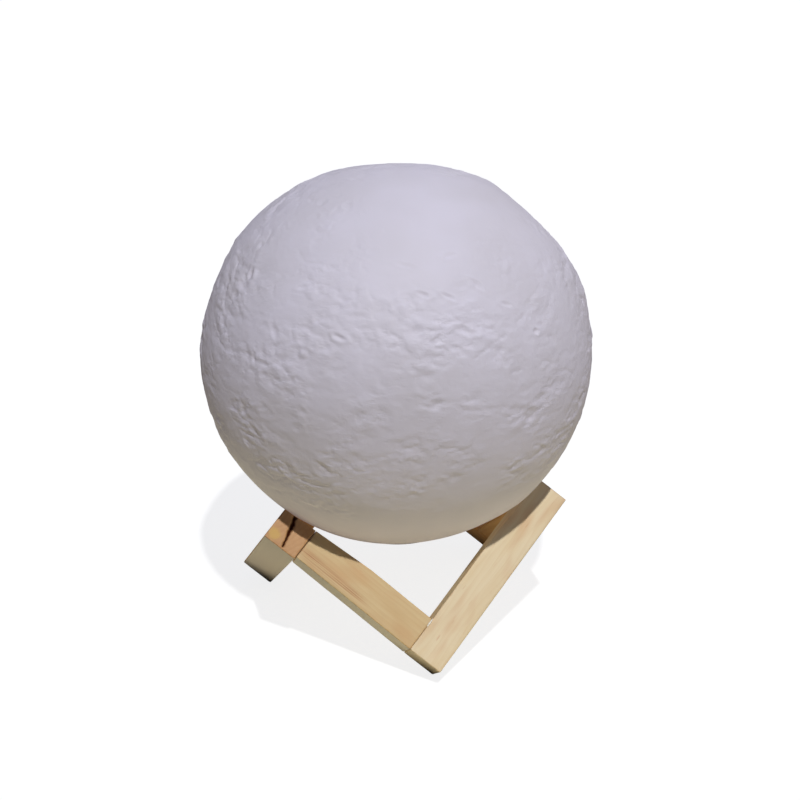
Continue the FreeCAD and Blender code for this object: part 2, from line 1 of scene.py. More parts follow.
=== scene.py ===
# %% [markdown]
# # A moon lamp on a zigzag pine stand
# A moon lamp is a hollow globe of milky plastic, moulded with the moon's
# craters, that rests loose on six pine bars. The pieces with exact shapes come
# ready made from the frame. What the eye judges is made here: the relief of the
# globe, the sawn and planed wood, and the finish of every surface.

import bpy
import json
import math
import numpy as np
from mathutils import Matrix, Vector


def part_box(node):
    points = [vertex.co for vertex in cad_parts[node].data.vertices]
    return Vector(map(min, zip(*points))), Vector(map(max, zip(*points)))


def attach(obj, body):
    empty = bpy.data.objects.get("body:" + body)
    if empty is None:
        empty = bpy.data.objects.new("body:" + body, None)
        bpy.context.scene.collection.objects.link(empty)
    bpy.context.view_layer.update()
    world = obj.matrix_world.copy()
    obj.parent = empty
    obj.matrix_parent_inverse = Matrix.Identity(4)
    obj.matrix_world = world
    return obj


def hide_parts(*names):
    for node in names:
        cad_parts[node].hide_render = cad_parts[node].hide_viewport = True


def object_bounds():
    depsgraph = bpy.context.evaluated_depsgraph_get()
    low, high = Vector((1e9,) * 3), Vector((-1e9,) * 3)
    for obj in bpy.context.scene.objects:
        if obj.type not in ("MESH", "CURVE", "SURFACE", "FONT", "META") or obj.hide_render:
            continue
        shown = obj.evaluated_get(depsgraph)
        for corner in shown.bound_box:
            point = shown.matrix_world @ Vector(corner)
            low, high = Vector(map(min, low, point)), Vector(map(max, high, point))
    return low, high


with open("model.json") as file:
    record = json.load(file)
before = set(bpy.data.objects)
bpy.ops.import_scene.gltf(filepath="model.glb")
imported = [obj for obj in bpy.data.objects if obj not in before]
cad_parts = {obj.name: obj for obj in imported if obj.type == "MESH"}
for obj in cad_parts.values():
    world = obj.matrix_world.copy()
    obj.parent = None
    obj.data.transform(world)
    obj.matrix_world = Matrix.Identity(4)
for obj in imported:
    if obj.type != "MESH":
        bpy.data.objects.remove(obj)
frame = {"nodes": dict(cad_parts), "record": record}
cad_box = [list(corner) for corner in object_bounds()]
print("box of the lamp in mm:", [[round(1000 * value, 1) for value in corner] for corner in cad_box])

# %% [markdown]
# ## Sizes
# Blender works in metres here, but a lamp is drawn in millimetres. So every
# size is written in millimetres, and turned to metres only where a mesh or a
# setting is made from it. The driving sizes are the globe and the bar. Where
# the globe sits is read from the frame, so that the two cannot drift apart.

# %% Driving sizes
MM = 0.001
GLOBE_RADIUS = 75.0
GLOBE_HALF_HEIGHT = 73.35
SHELL_WALL = 1.6
BAR_WIDTH = 14.25
SHORT_LENGTH = 55.0
# how much of the corner of each foot is sawn off
FOOT_TRIM = 0.8
# how far the seats lie below the globe's centre, and what room they leave it
SEAT_DROP = 46.2
SEAT_GAP = 0.15
SEAT_HEADINGS = (-30.0, 90.0, 210.0)
OPENING_RADIUS = 22.0

shell_low, shell_high = [Vector(corner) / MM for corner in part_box("moon_shell")]
globe_level = shell_high.z - GLOBE_HALF_HEIGHT
land_level = shell_low.z
bar_reach = SHORT_LENGTH + BAR_WIDTH
long_length = SHORT_LENGTH + 2 * BAR_WIDTH
corner_radius = bar_reach * math.sqrt(2 / 3)
seat_rise = -math.degrees(math.atan2(SEAT_DROP, corner_radius))
print(f"globe centre {globe_level:.2f} mm up, long bar {long_length:.1f} mm")


# %% [markdown]
# ## The camera
# The photograph looks down on the lamp from the front, a little from its left.
# A camera can be placed by its angles round the globe: a heading, a height
# angle, a distance and a slight roll. The focal length follows from how fast
# the bars grow narrower with distance. Angles are kept instead of a typed
# position, because they are what one would change to look from elsewhere.

# %% Place the camera
CAMERA_HEADING = -12.78
CAMERA_RISE = 23.93
CAMERA_ROLL = -0.715
CAMERA_DISTANCE = 676.0
FOCAL_PIXELS = 1757.0
PICTURE_PIXELS = 800
SENSOR_WIDTH = 36.0
AIM_SIDEWAYS = 1.54
AIM_DOWN = 18.53


def view_axes(heading, rise, roll=0.0):
    """The directions right, up and towards the camera for a viewing angle in degrees."""
    turn, lift, tilt = (math.radians(angle) for angle in (heading, rise, roll))
    right = Vector((math.cos(turn), math.sin(turn), 0.0))
    towards = Vector((math.sin(turn) * math.cos(lift), -math.cos(turn) * math.cos(lift), math.sin(lift)))
    up = towards.cross(right)
    rolled_right = math.cos(tilt) * right + math.sin(tilt) * up
    return rolled_right, towards.cross(rolled_right), towards


def place_camera():
    """Put the camera at its angles round the globe's centre."""
    right, up, towards = view_axes(CAMERA_HEADING, CAMERA_RISE, CAMERA_ROLL)
    data = bpy.data.cameras.new("camera")
    data.sensor_width = SENSOR_WIDTH
    data.lens = FOCAL_PIXELS / PICTURE_PIXELS * data.sensor_width
    data.clip_start = 0.01
    camera = bpy.data.objects.new("camera", data)
    bpy.context.scene.collection.objects.link(camera)
    centre = Vector((0.0, 0.0, globe_level))
    spot = centre + CAMERA_DISTANCE * towards + AIM_SIDEWAYS * right - AIM_DOWN * up
    turned = Matrix((right, up, towards)).transposed().to_4x4()
    camera.matrix_world = Matrix.Translation(spot * MM) @ turned
    bpy.context.scene.camera = camera
    print(f"lens {data.lens:.1f} mm, camera {spot.z:.0f} mm above the table")


place_camera()

# %% [markdown]
# ## Tools for materials
# A material is a small graph of nodes. One function adds a node with its
# settings and its links, so a material reads as a list of what it does. Colours
# are written as sRGB hex, as seen on a swatch, and turned to the linear values
# that light is reckoned in.

# %% Colours, nodes and materials


def linear(swatch):
    """An sRGB hex colour such as #d8c39a as the linear RGBA that Blender wants."""
    channels = [int(swatch[index:index + 2], 16) / 255 for index in (1, 3, 5)]
    return [value / 12.92 if value <= 0.04045 else ((value + 0.055) / 1.055) ** 2.4
            for value in channels] + [1.0]


def add_node(tree, kind, links=None, values=None, stops=(), **properties):
    """Add a node with its properties, its inputs' values and links, and a colour ramp's two stops."""
    node = tree.nodes.new(kind)
    for name, value in properties.items():
        setattr(node, name, value)
    for key, value in (values or {}).items():
        node.inputs[key].default_value = value
    for key, output in (links or {}).items():
        tree.links.new(output, node.inputs[key])
    for index, (position, swatch) in enumerate(stops):
        node.color_ramp.elements[index].position = position
        node.color_ramp.elements[index].color = linear(swatch)
    return node


def new_material(name):
    """A material with an empty graph, and its tree."""
    material = bpy.data.materials.new(name)
    material.use_nodes = True
    material.node_tree.nodes.clear()
    return material, material.node_tree


def finish_material(tree, links, values):
    """The shader that every material ends in."""
    shader = add_node(tree, "ShaderNodeBsdfPrincipled", links, values)
    add_node(tree, "ShaderNodeOutputMaterial", {"Surface": shader.outputs[0]})


def per_mm(size):
    """The scale of a pattern whose features are this many millimetres apart."""
    return 1.0 / (size * MM)


print(f"a pattern with features 2 mm apart has scale {per_mm(2.0):.0f}")

# %% [markdown]
# ## Noise for shapes
# Blender's noise nodes colour a surface, but a crater is geometry: it has to
# show in the outline and in the exported mesh. So the relief is worked out in
# numpy, where one call handles every vertex at once. This is gradient noise:
# each corner of a lattice gets a random slope, and the slopes are blended.

# %% Gradient noise over many points
NOISE_LAYERS = 3


def lattice_hash(x, y, z, seed):
    """A repeatable random number from 0 to 1 for each lattice corner."""
    code = (x * 374761393 + y * 668265263 + z * 1442695041 + seed * 974634777) & 0xFFFFFFFF
    code = ((code ^ (code >> 13)) * 1274126177) & 0xFFFFFFFF
    code = ((code ^ (code >> 16)) * 2246822519) & 0xFFFFFFFF
    return ((code ^ (code >> 15)) & 0xFFFFFF) / float(0xFFFFFF)


def noise(points, size, seed):
    """Smooth noise from about -1 to 1 whose lumps are size apart."""
    spot = points / size
    corner = np.floor(spot).astype(np.int64)
    inside = spot - corner
    fade = inside ** 3 * (inside * (inside * 6 - 15) + 10)
    total = np.zeros(len(points))
    for dx in (0, 1):
        for dy in (0, 1):
            for dz in (0, 1):
                at = corner + (dx, dy, dz)
                away = inside - (dx, dy, dz)
                slope = np.stack([lattice_hash(at[:, 0], at[:, 1], at[:, 2], seed + k) * 2 - 1
                                  for k in (0, 101, 202)], axis=1)
                weight = np.prod(np.where((dx, dy, dz), fade, 1 - fade), axis=1)
                total += weight * np.sum(slope * away, axis=1)
    return total * 1.6


def layered_noise(points, size, seed):
    """Noise with finer and weaker noise on top of it."""
    return sum(noise(points, size / 2 ** k, seed + 7 * k) / 2 ** k for k in range(NOISE_LAYERS))


def smooth_step(low, high, value):
    """0 below low, 1 above high, and a smooth rise between them."""
    share = np.clip((value - low) / (high - low), 0, 1)
    return share * share * (3 - 2 * share)


sample = noise(np.linspace((-50, -40, -30), (50, 40, 30), 2000), 5.0, 1)
print(f"noise goes from {sample.min():.2f} to {sample.max():.2f}")

# %% [markdown]
# ## The moon globe
# The real shell is a thin hollow globe, made from height data of the moon: wide
# smooth seas, rough highlands and thousands of craters, most of them less than
# a millimetre deep. It is also a little low for its width, and two wide patches
# are pushed in, at the upper right and behind the top. It could be a sphere
# with a bump texture, but then its outline would stay a perfect circle. So the
# vertices themselves are moved. The globe is a grid of parallels and meridians,
# because that ends in a clean round hole for the light unit, and because its
# rows can turn in at the hole and run back up inside as the inner wall.

# %% Directions on the globe
PATCHES = [
    # heading and height angle in degrees, how far the patch is pushed in, in mm
    (10.0, 40.0, 1.4),
    (87.0, 66.0, 1.8),
]
PATCH_BLEND = 1.0


def direction(heading, rise):
    """A unit vector from a height angle and a heading in degrees, from the lamp's right to its back."""
    turn, lift = math.radians(heading), math.radians(rise)
    return np.array([math.cos(lift) * math.cos(turn), math.cos(lift) * math.sin(turn), math.sin(lift)])


def seen_at(x, y):
    """The direction of the globe's surface at a place in the picture, as shares of its radius."""
    right, up, towards = view_axes(CAMERA_HEADING, CAMERA_RISE, CAMERA_ROLL)
    return np.array(x * right + y * up + math.sqrt(max(0.0, 1 - x * x - y * y)) * towards)


def half_extent(rise, inset=0.0):
    """How far the smooth globe reaches from its centre, measured along this height angle."""
    lift = math.radians(rise)
    wide, tall = GLOBE_RADIUS - inset, GLOBE_HALF_HEIGHT - inset
    return math.hypot(wide * math.cos(lift), tall * math.sin(lift))


def smooth_radius(directions, inset):
    """The radius of the smooth globe along each direction, pushed in at the patches, less the inset."""
    level = np.hypot(directions[:, 0], directions[:, 1])
    wide, tall = GLOBE_RADIUS - inset, GLOBE_HALF_HEIGHT - inset
    radius = 1 / np.sqrt((level / wide) ** 2 + (directions[:, 2] / tall) ** 2)
    for heading, rise, depth in PATCHES:
        plane = half_extent(rise, inset) - depth
        flat = plane / np.maximum(directions @ direction(heading, rise), 0.05)
        # a soft minimum rounds the edge where the patch meets the globe
        share = np.clip(0.5 + 0.5 * (flat - radius) / PATCH_BLEND, 0, 1)
        radius = flat * (1 - share) + radius * share - PATCH_BLEND * share * (1 - share)
    return radius


print(len(PATCHES), "patches are pushed in")

# %% [markdown]
# The relief is not equally strong all over. Noise makes rough patches with
# calmer ground between them, and a list of regions corrects it where the
# photograph shows smoother or rougher ground. Towards the hole and on the three
# seats it fades out. The outline gets a list of its own: long shallow swells,
# each at an angle round the edge of the globe in the picture.

# %% Where the globe is rough and where it is smooth
REGIONS = [
    # place in the picture, angular radius in degrees, how many times stronger the relief is
    (0.10, 0.62, 25, 0.20),
    (0.52, 0.62, 22, 0.32),
    (-0.12, 0.90, 18, 0.60),
    (0.84, 0.12, 13, 0.50),
    (-0.88, -0.22, 32, 1.10),
    (-0.42, 0.34, 26, 0.68),
    (0.12, -0.66, 28, 0.60),
]
SWELLS = [
    # angle round the outline and angular radius in degrees, height in mm
    (20, 10, 0.90),
    (45, 10, -2.20),
    (62, 7, 0.90),
    (92, 17, -2.00),
    (135, 14, 0.15),
    (161, 12, -1.25),
    (200, 10, -0.40),
    (228, 12, -0.45),
    (310, 8, 0.70),
]
SMOOTH_BELOW = -30.0
ROUGH_PATCH = 15.0
ROUGH_DRIFT = 34.0
REGION_WANDER = 18.0
EDGE_WANDER = 40.0
SEAT_CLEARING = (3.0, 14.0)


def degrees_apart(directions, middle):
    """The angle between each direction and a middle one."""
    return np.degrees(np.arccos(np.clip(directions @ middle, -1, 1)))


def roughness_map(directions):
    """How strong the relief is along each direction: 0 is smooth, 1 is usual."""
    ground = directions * GLOBE_RADIUS
    patchy = smooth_step(-0.40, 0.50, noise(ground * (1, 1, 1.3), ROUGH_PATCH, 47))
    strength = (0.32 + 0.86 * patchy) * (1.0 + 0.45 * noise(ground, ROUGH_DRIFT, 41))
    wobble = 5 * noise(ground, REGION_WANDER, 52)
    for x, y, radius, factor in REGIONS:
        apart = degrees_apart(directions, seen_at(x, y)) + wobble
        inside = 1 - smooth_step(radius - 9, radius + 7, apart)
        strength = strength * (1 + inside * (factor - 1))
    rise = np.degrees(np.arcsin(np.clip(directions[:, 2], -1, 1)))
    edge = SMOOTH_BELOW + 7 * noise(ground, EDGE_WANDER, 63)
    strength *= 0.06 + 0.94 * smooth_step(edge - 8, edge + 6, rise)
    # the globe sits on three corners of the stand, where the relief fades out
    for heading in SEAT_HEADINGS:
        strength *= smooth_step(*SEAT_CLEARING, degrees_apart(directions, direction(heading, seat_rise)))
    return np.clip(strength, 0, 1.6)


print(len(REGIONS), "regions corrected,", len(SWELLS), "swells round the outline")

# %% [markdown]
# Craters come in all sizes, and small ones are far more common. Each is a
# shallow bowl with a low soft rim. The points are shaken a little before the
# distance to a crater is measured, so that no rim is a perfect circle. The
# random numbers start from a fixed seed, so the moon is the same in every run.

# %% Craters
CRATER_SETS = [
    # how many, smallest and largest radius in mm, depth as a share of the radius
    (24, 7.0, 13.0, 0.040),
    (300, 2.8, 6.5, 0.075),
    (1100, 1.3, 2.8, 0.115),
]
CRATER_SEED = 20
CRATER_SHAKE = 0.9
CRATER_REACH = 1.9
RIM_HEIGHT = 0.4


def crater_relief(directions):
    """The height that all craters add along each direction, in mm."""
    chance = np.random.default_rng(CRATER_SEED)
    ground = directions * GLOBE_RADIUS
    shaken = ground + CRATER_SHAKE * np.stack([noise(ground, 5.0, seed) for seed in (3, 4, 5)], axis=1)
    shaken /= np.linalg.norm(shaken, axis=1, keepdims=True)
    height = np.zeros(len(directions))
    for count, smallest, largest, depth_share in CRATER_SETS:
        for _ in range(count):
            middle = chance.normal(size=3)
            middle /= np.linalg.norm(middle)
            radius = smallest * (largest / smallest) ** (chance.random() ** 1.6)
            depth = radius * depth_share * chance.uniform(0.4, 1.3)
            cosine = shaken @ middle
            near = np.nonzero(cosine > math.cos(CRATER_REACH * radius / GLOBE_RADIUS))[0]
            share = GLOBE_RADIUS * np.sqrt(np.maximum(2 - 2 * cosine[near], 0)) / radius
            bowl = -depth * (1 - smooth_step(0.15, 1.0, share))
            rim = RIM_HEIGHT * depth * np.exp(-((share - 1.05) / 0.26) ** 2)
            height[near] += bowl + rim
    return height


print(sum(crater_set[0] for crater_set in CRATER_SETS), "craters")

# %% [markdown]
# Some dents of the photograph stand out so much that chance would not place
# them right. They are listed one by one: each is an ellipse with a place in the
# picture, a tilt and a depth. A negative depth makes a bump.

# %% Dents listed one by one
DENTS = [
    # place in the picture, half length and half width in mm, tilt in degrees, depth in mm
    (-0.700, 0.365, 2.3, 1.8, 70, 0.36),
    (-0.567, 0.077, 4.2, 1.7, -52, 0.26),
    (-0.430, 0.281, 3.5, 1.0, 0, 0.32),
    (-0.261, 0.041, 3.0, 1.2, -25, 0.50),
    (-0.669, -0.051, 2.6, 1.0, 88, 0.40),
    (-0.429, -0.036, 2.2, 1.7, 0, -0.45),
    (0.128, 0.240, 3.2, 1.1, -15, 0.40),
    (0.245, 0.230, 2.8, 1.0, -25, 0.35),
    (0.378, 0.291, 4.0, 1.1, -35, 0.40),
    (0.521, 0.199, 3.0, 1.1, -5, 0.40),
    (0.327, 0.071, 5.0, 1.6, -12, 0.42),
    (0.664, 0.077, 1.6, 1.4, 0, 0.65),
    (0.046, 0.378, 4.5, 1.0, -15, 0.22),
    (0.255, 0.429, 3.4, 1.4, 20, 0.30),
    (-0.200, 0.842, 4.0, 1.2, -50, 0.30),
]


def dents(directions):
    """The height that the listed dents add along each direction, in mm."""
    right, up, _ = [np.array(axis) for axis in view_axes(CAMERA_HEADING, CAMERA_RISE, CAMERA_ROLL)]
    height = np.zeros(len(directions))
    for x, y, length, width, tilt, depth in DENTS:
        middle = seen_at(x, y)
        near = np.nonzero(directions @ middle > math.cos(2 * length / GLOBE_RADIUS))[0]
        turn = math.radians(tilt)
        along = math.cos(turn) * right + math.sin(turn) * up
        along -= (along @ middle) * middle
        along /= np.linalg.norm(along)
        offset = (directions[near] - middle) * GLOBE_RADIUS
        wander = 1 + 0.3 * noise(directions[near] * GLOBE_RADIUS, 2.5, 91)
        share = np.hypot(offset @ along / length, offset @ np.cross(middle, along) / width) * wander
        rim = 0.35 * np.exp(-((share - 1.15) / 0.3) ** 2)
        height[near] += depth * (rim - (1 - smooth_step(0.1, 1.0, share)))
    return height


print(len(DENTS), "dents placed by hand")

# %% [markdown]
# The whole relief is the sum of its parts: craters, lumps and creases where the
# globe is rough, then the dents, a slow wave over everything and the swells.
# Lumps and creases are wider than high, as on the real globe, which is built up
# in level layers. So their noise is read from points that are drawn out upwards.

# %% The whole relief
SIDEWAYS_DRAW = 1.7
CRATER_SHARE = 0.75
LUMP_HEIGHT = 0.30
LUMP_SPACING = 9.0
CREASE_DEPTH = 0.30
CREASE_SPACING = 13.0
WAVES = [
    # height and spacing in mm, seed
    (0.18, 40, 15),
    (0.10, 20, 16),
]


def relief(directions):
    """The height of the moulded surface above the smooth globe, in mm."""
    ground = directions * GLOBE_RADIUS
    flat = ground * (1, 1, SIDEWAYS_DRAW)
    lumps = LUMP_HEIGHT * layered_noise(flat, LUMP_SPACING, 77)
    near_crease = np.maximum(0, 1 - 3.0 * np.abs(layered_noise(flat, CREASE_SPACING, 88)))
    creases = -CREASE_DEPTH * near_crease ** 2
    height = roughness_map(directions) * (CRATER_SHARE * crater_relief(directions) + lumps + creases)
    height += dents(directions)
    for amount, spacing, seed in WAVES:
        height += amount * noise(ground, spacing, seed)
    for angle, radius, amount in SWELLS:
        middle = seen_at(math.cos(math.radians(angle)), math.sin(math.radians(angle)))
        height += amount * np.exp(-(degrees_apart(directions, middle) / radius) ** 2)
    return height


above_front_foot = direction(-90.0, 20.0)
print(f"relief above the front foot: {relief(above_front_foot[None])[0]:.2f} mm")

# %% [markdown]
# Every piece made here is a mesh from points in millimetres. One function makes
# it and lets it ride on its body of the frame. A second one joins rows of
# points that run round into a band of faces.

# %% Tools for meshes


def mesh_piece(name, vertices, faces, body):
    """A mesh object from points in mm, riding on a body of the frame."""
    mesh = bpy.data.meshes.new(name)
    mesh.from_pydata([tuple(value * MM for value in point) for point in vertices], [], faces)
    mesh.validate()
    mesh.polygons.foreach_set("use_smooth", [True] * len(mesh.polygons))
    piece = bpy.data.objects.new(name, mesh)
    bpy.context.scene.collection.objects.link(piece)
    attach(piece, body)
    print(f"{name}: {len(mesh.vertices)} vertices, {len(mesh.polygons)} faces")
    return piece


def band_faces(rows, columns):
    """Four-sided faces between neighbouring rows of points that each run round once."""
    faces = []
    for row in range(rows - 1):
        for column in range(columns):
            beside = (column + 1) % columns
            faces.append((row * columns + column, row * columns + beside,
                          (row + 1) * columns + beside, (row + 1) * columns + column))
    return faces


print("a band of 2 rows of 3 points has faces", band_faces(2, 3))

# %% [markdown]
# The globe's rows are placed first: down the outside from the top to the flat
# land round the hole, across to the hole, and back to the top inside. Then the
# outside rows are moved by the relief. Their spacing is under a millimetre,
# fine enough for the smallest crater.

# %% Rows of the globe
MERIDIANS = 720
OUTER_ROWS = 340
INNER_ROWS = 40
# the inner wall stands further back than the real one, to clear all but the deepest dents
DENT_CLEARANCE = 0.6


def on_globe(falls, inset, relief_too):
    """A grid of points on the globe: one row for each fall angle from the top."""
    turns = np.linspace(0, 2 * math.pi, MERIDIANS, endpoint=False)
    fall, turn = np.meshgrid(falls, turns, indexing="ij")
    directions = np.stack([np.sin(fall) * np.cos(turn), np.sin(fall) * np.sin(turn), np.cos(fall)],
                          axis=-1).reshape(-1, 3)
    radius = smooth_radius(directions, inset)
    if relief_too:
        radius = radius + relief(directions)
    points = directions * radius[:, None] + (0, 0, globe_level)
    return points.reshape(len(falls), MERIDIANS, 3)


def fall_to(level, inset):
    """The fall angle at which the smooth globe reaches this height below its centre."""
    tall = GLOBE_HALF_HEIGHT - inset
    radius = (GLOBE_RADIUS - inset) * math.sqrt(1 - (level / tall) ** 2)
    return math.atan2(radius, level)


def moon_rows():
    """All rows of the globe's grid: outside, round the hole and back up inside."""
    outer_end = fall_to(land_level - globe_level, 0)
    inner_inset = SHELL_WALL + DENT_CLEARANCE
    inner_wide = GLOBE_RADIUS - inner_inset
    inner_tall = GLOBE_HALF_HEIGHT - inner_inset
    inner_level = -inner_tall * math.sqrt(1 - (OPENING_RADIUS / inner_wide) ** 2)
    inner_end = math.atan2(OPENING_RADIUS, inner_level)
    outside = on_globe(np.linspace(outer_end / OUTER_ROWS / 2, outer_end, OUTER_ROWS), 0, True)
    inside = on_globe(np.linspace(inner_end, inner_end / INNER_ROWS / 2, INNER_ROWS), inner_inset, False)
    # the last outside row lies on the land, and the hole's edge follows it
    outside[-1, :, 2] = land_level
    hole = outside[-1].copy()
    hole[:, :2] *= OPENING_RADIUS / np.linalg.norm(hole[:, :2], axis=1, keepdims=True)
    rows = np.concatenate([outside, hole[None], inside])
    return np.clip(rows, np.array(cad_box[0]) / MM, np.array(cad_box[1]) / MM)


print(f"rows outside are {math.pi * GLOBE_RADIUS / OUTER_ROWS:.2f} mm apart at most")

# %% [markdown]
# Bands of faces join the rows, and a fan of triangles closes the top, outside
# and inside. The globe also stores at each vertex how rough it is there. Its
# finish reads that, so that the fine grain fades where the relief does.

# %% Build the globe


def build_moon():
    """The globe as one closed mesh, with the strength of its grain at every vertex."""
    grid = moon_rows()
    vertices = [tuple(point) for point in grid.reshape(-1, 3)]
    vertices += [tuple(grid[0].mean(axis=0)), tuple(grid[-1].mean(axis=0))]
    faces = [(first, last, across, second)
             for first, second, across, last in band_faces(len(grid), MERIDIANS)]
    top_outside, top_inside = len(vertices) - 2, len(vertices) - 1
    last_row = (len(grid) - 1) * MERIDIANS
    for column in range(MERIDIANS):
        beside = (column + 1) % MERIDIANS
        faces.append((top_outside, column, beside))
        faces.append((last_row + column, top_inside, last_row + beside))
    globe = mesh_piece("moon_globe", vertices, faces, "globe")
    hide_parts("moon_shell")
    # the inside keeps a strength of zero
    outer = np.array(vertices[:MERIDIANS * OUTER_ROWS]) - (0, 0, globe_level)
    outer /= np.linalg.norm(outer, axis=1, keepdims=True)
    grain = np.zeros(len(vertices), dtype=np.float32)
    grain[:len(outer)] = roughness_map(outer)
    globe.data.attributes.new("grain_strength", "FLOAT", "POINT").data.foreach_set("value", grain)
    return globe


moon = build_moon()

# %% [markdown]
# ## The finish of the globe
# Moon globes are printed or moulded in milky white plastic (PLA), which lets a
# little light in before it scatters back. That softens the small shadows of the
# relief. So the shader is a satin plastic with a little light scattered under
# its skin. A real thin shell also passes light on from its far side. That is
# too slow to trace, so a weak even glow stands for it.
#
# A fine bump gives the faint level bands of a print, and the tiny lumps and
# pits between the moulded craters. Like the relief, the lumps and pits are
# wider than high.

# %% Moon plastic
MOON_WHITE = "#d3d0dc"
MOON_SHADE = "#cac7d0"
SHADE_SIZE = 30.0
INNER_GLOW = "#645d5a"
# real printed layers are 0.2 mm high, too fine to show, so wider bands stand for them
BAND_HEIGHT = 2.5133
BAND_SHARE = 0.03
# how far Blender's wave pattern runs on, in radians, per unit of place and scale
WAVE_RADIANS = 20
LUMP_SIZE = 2.6
LUMP_SHARE = 0.8
PIT_SIZE = 3.4
GRAIN_HEIGHT = 0.16
GRAIN_STRENGTH = 0.45
LIGHT_DEPTH = 1.5


def moon_plastic():
    """Milky plastic with faint level bands, lumps and pits, in two close shades of white."""
    material, tree = new_material("milky_printed_plastic")
    place = add_node(tree, "ShaderNodeTexCoord").outputs["Object"]
    strength = add_node(tree, "ShaderNodeAttribute", attribute_name="grain_strength").outputs["Fac"]
    band_scale = 2 * math.pi / WAVE_RADIANS * per_mm(BAND_HEIGHT)
    bands = add_node(tree, "ShaderNodeTexWave", {"Vector": place},
                     {"Scale": band_scale, "Distortion": 1.5, "Detail": 1.0}, bands_direction="Z")
    flat = add_node(tree, "ShaderNodeVectorMath", {0: place}, {1: (1, 1, SIDEWAYS_DRAW)},
                    operation="MULTIPLY").outputs[0]
    lumps = add_node(tree, "ShaderNodeTexNoise", {"Vector": flat},
                     {"Scale": per_mm(LUMP_SIZE), "Detail": 2.0, "Roughness": 0.5})
    pits = add_node(tree, "ShaderNodeTexNoise", {"Vector": flat},
                    {"Scale": per_mm(PIT_SIZE), "Detail": 1.0})
    raised = add_node(tree, "ShaderNodeMapRange", {"Value": lumps.outputs["Fac"]},
                      {"From Min": 0.48, "From Max": 0.72})
    sunk = add_node(tree, "ShaderNodeMapRange", {"Value": pits.outputs["Fac"]},
                    {"From Min": 0.28, "From Max": 0.44})
    rough = add_node(tree, "ShaderNodeMath", {0: raised.outputs[0], 2: sunk.outputs[0]},
                     {1: LUMP_SHARE}, operation="MULTIPLY_ADD")
    kept = add_node(tree, "ShaderNodeMath", {0: rough.outputs[0], 1: strength}, operation="MULTIPLY")
    height = add_node(tree, "ShaderNodeMath", {0: bands.outputs["Fac"], 2: kept.outputs[0]},
                      {1: BAND_SHARE}, operation="MULTIPLY_ADD")
    bump = add_node(tree, "ShaderNodeBump", {"Height": height.outputs[0]},
                    {"Strength": GRAIN_STRENGTH, "Distance": GRAIN_HEIGHT * MM})
    shades = add_node(tree, "ShaderNodeTexNoise", {"Vector": place},
                      {"Scale": per_mm(SHADE_SIZE), "Detail": 2.0})
    tint = add_node(tree, "ShaderNodeValToRGB", {"Fac": shades.outputs["Fac"]},
                    stops=[(0.35, MOON_WHITE), (0.75, MOON_SHADE)])
    finish_material(tree, {"Base Color": tint.outputs["Color"], "Normal": bump.outputs["Normal"]},
                    {"Roughness": 0.62, "IOR": 1.46, "Subsurface Weight": 0.15,
                     "Subsurface Radius": (1.0, 0.95, 0.9), "Subsurface Scale": LIGHT_DEPTH * MM,
                     "Emission Color": linear(INNER_GLOW), "Emission Strength": 1.0})
    return material


moon.data.materials.append(moon_plastic())
print("the globe's plastic is", moon.data.materials[0].name)

# %% [markdown]
# ## The stand
# Six square pine bars lie on six edges of a cube that balances on one corner:
# the edges that touch neither its lowest nor its highest corner. So the stand
# zigzags round the globe, with three feet and three top corners. At each foot a
# short bar is glued to a long one, and at each top corner a dowel plugs the
# short bar of one pair into the long bar of the next. By hand no joint is
# perfect: the short bar of the front pair was cut a little out of true, so it
# leans by one degree, up to 1 mm at its far end.

# %% Where each bar lies
FEET = {"front": -90.0, "right": 30.0, "left": 150.0}
# how far a bar's far end rises out of line, as a share of its length
LEAN = {"front_short": 0.019}


def cube_axes(heading):
    """The three edge directions of the cube, the first one over this foot."""
    outwards, upwards = math.sqrt(2 / 3), math.sqrt(1 / 3)
    angles = [math.radians(heading + step) for step in (0, 120, 240)]
    return [np.array([outwards * math.cos(a), outwards * math.sin(a), upwards]) for a in angles]


def foot_corner(heading):
    """The lowest corner of a foot before it is trimmed flat, in mm."""
    turn = math.radians(heading)
    return np.array([corner_radius * math.cos(turn), corner_radius * math.sin(turn), -FOOT_TRIM])


print("feet at headings", ", ".join(f"{heading:.0f}" for heading in FEET.values()))

# %% [markdown]
# The bars could stay the sharp blocks of the frame. But wood is never sharp:
# planed edges are eased, sawn ends are a little fuzzy, and the corners that
# touch the table are rubbed round. So each bar is built as a fine grid over its
# four sides and two ends, with eased edges that wander a little.

# %% Grid over a block
EDGE_EASE = 0.55
EDGE_MARGIN = 1.0
MARGIN_STEPS = [0.0, 0.1, 0.25, 0.45, 0.7]
GRID_STEP = 0.36
LENGTH_STEP = 0.8


def spaced(length, step):
    """Positions along a side, from its middle, closer together at both ends, where it is eased."""
    margin = np.array(MARGIN_STEPS)
    middle = np.linspace(EDGE_MARGIN, length - EDGE_MARGIN, round((length - 2 * EDGE_MARGIN) / step))
    return np.concatenate([margin, middle, length - margin[::-1]]) - length / 2


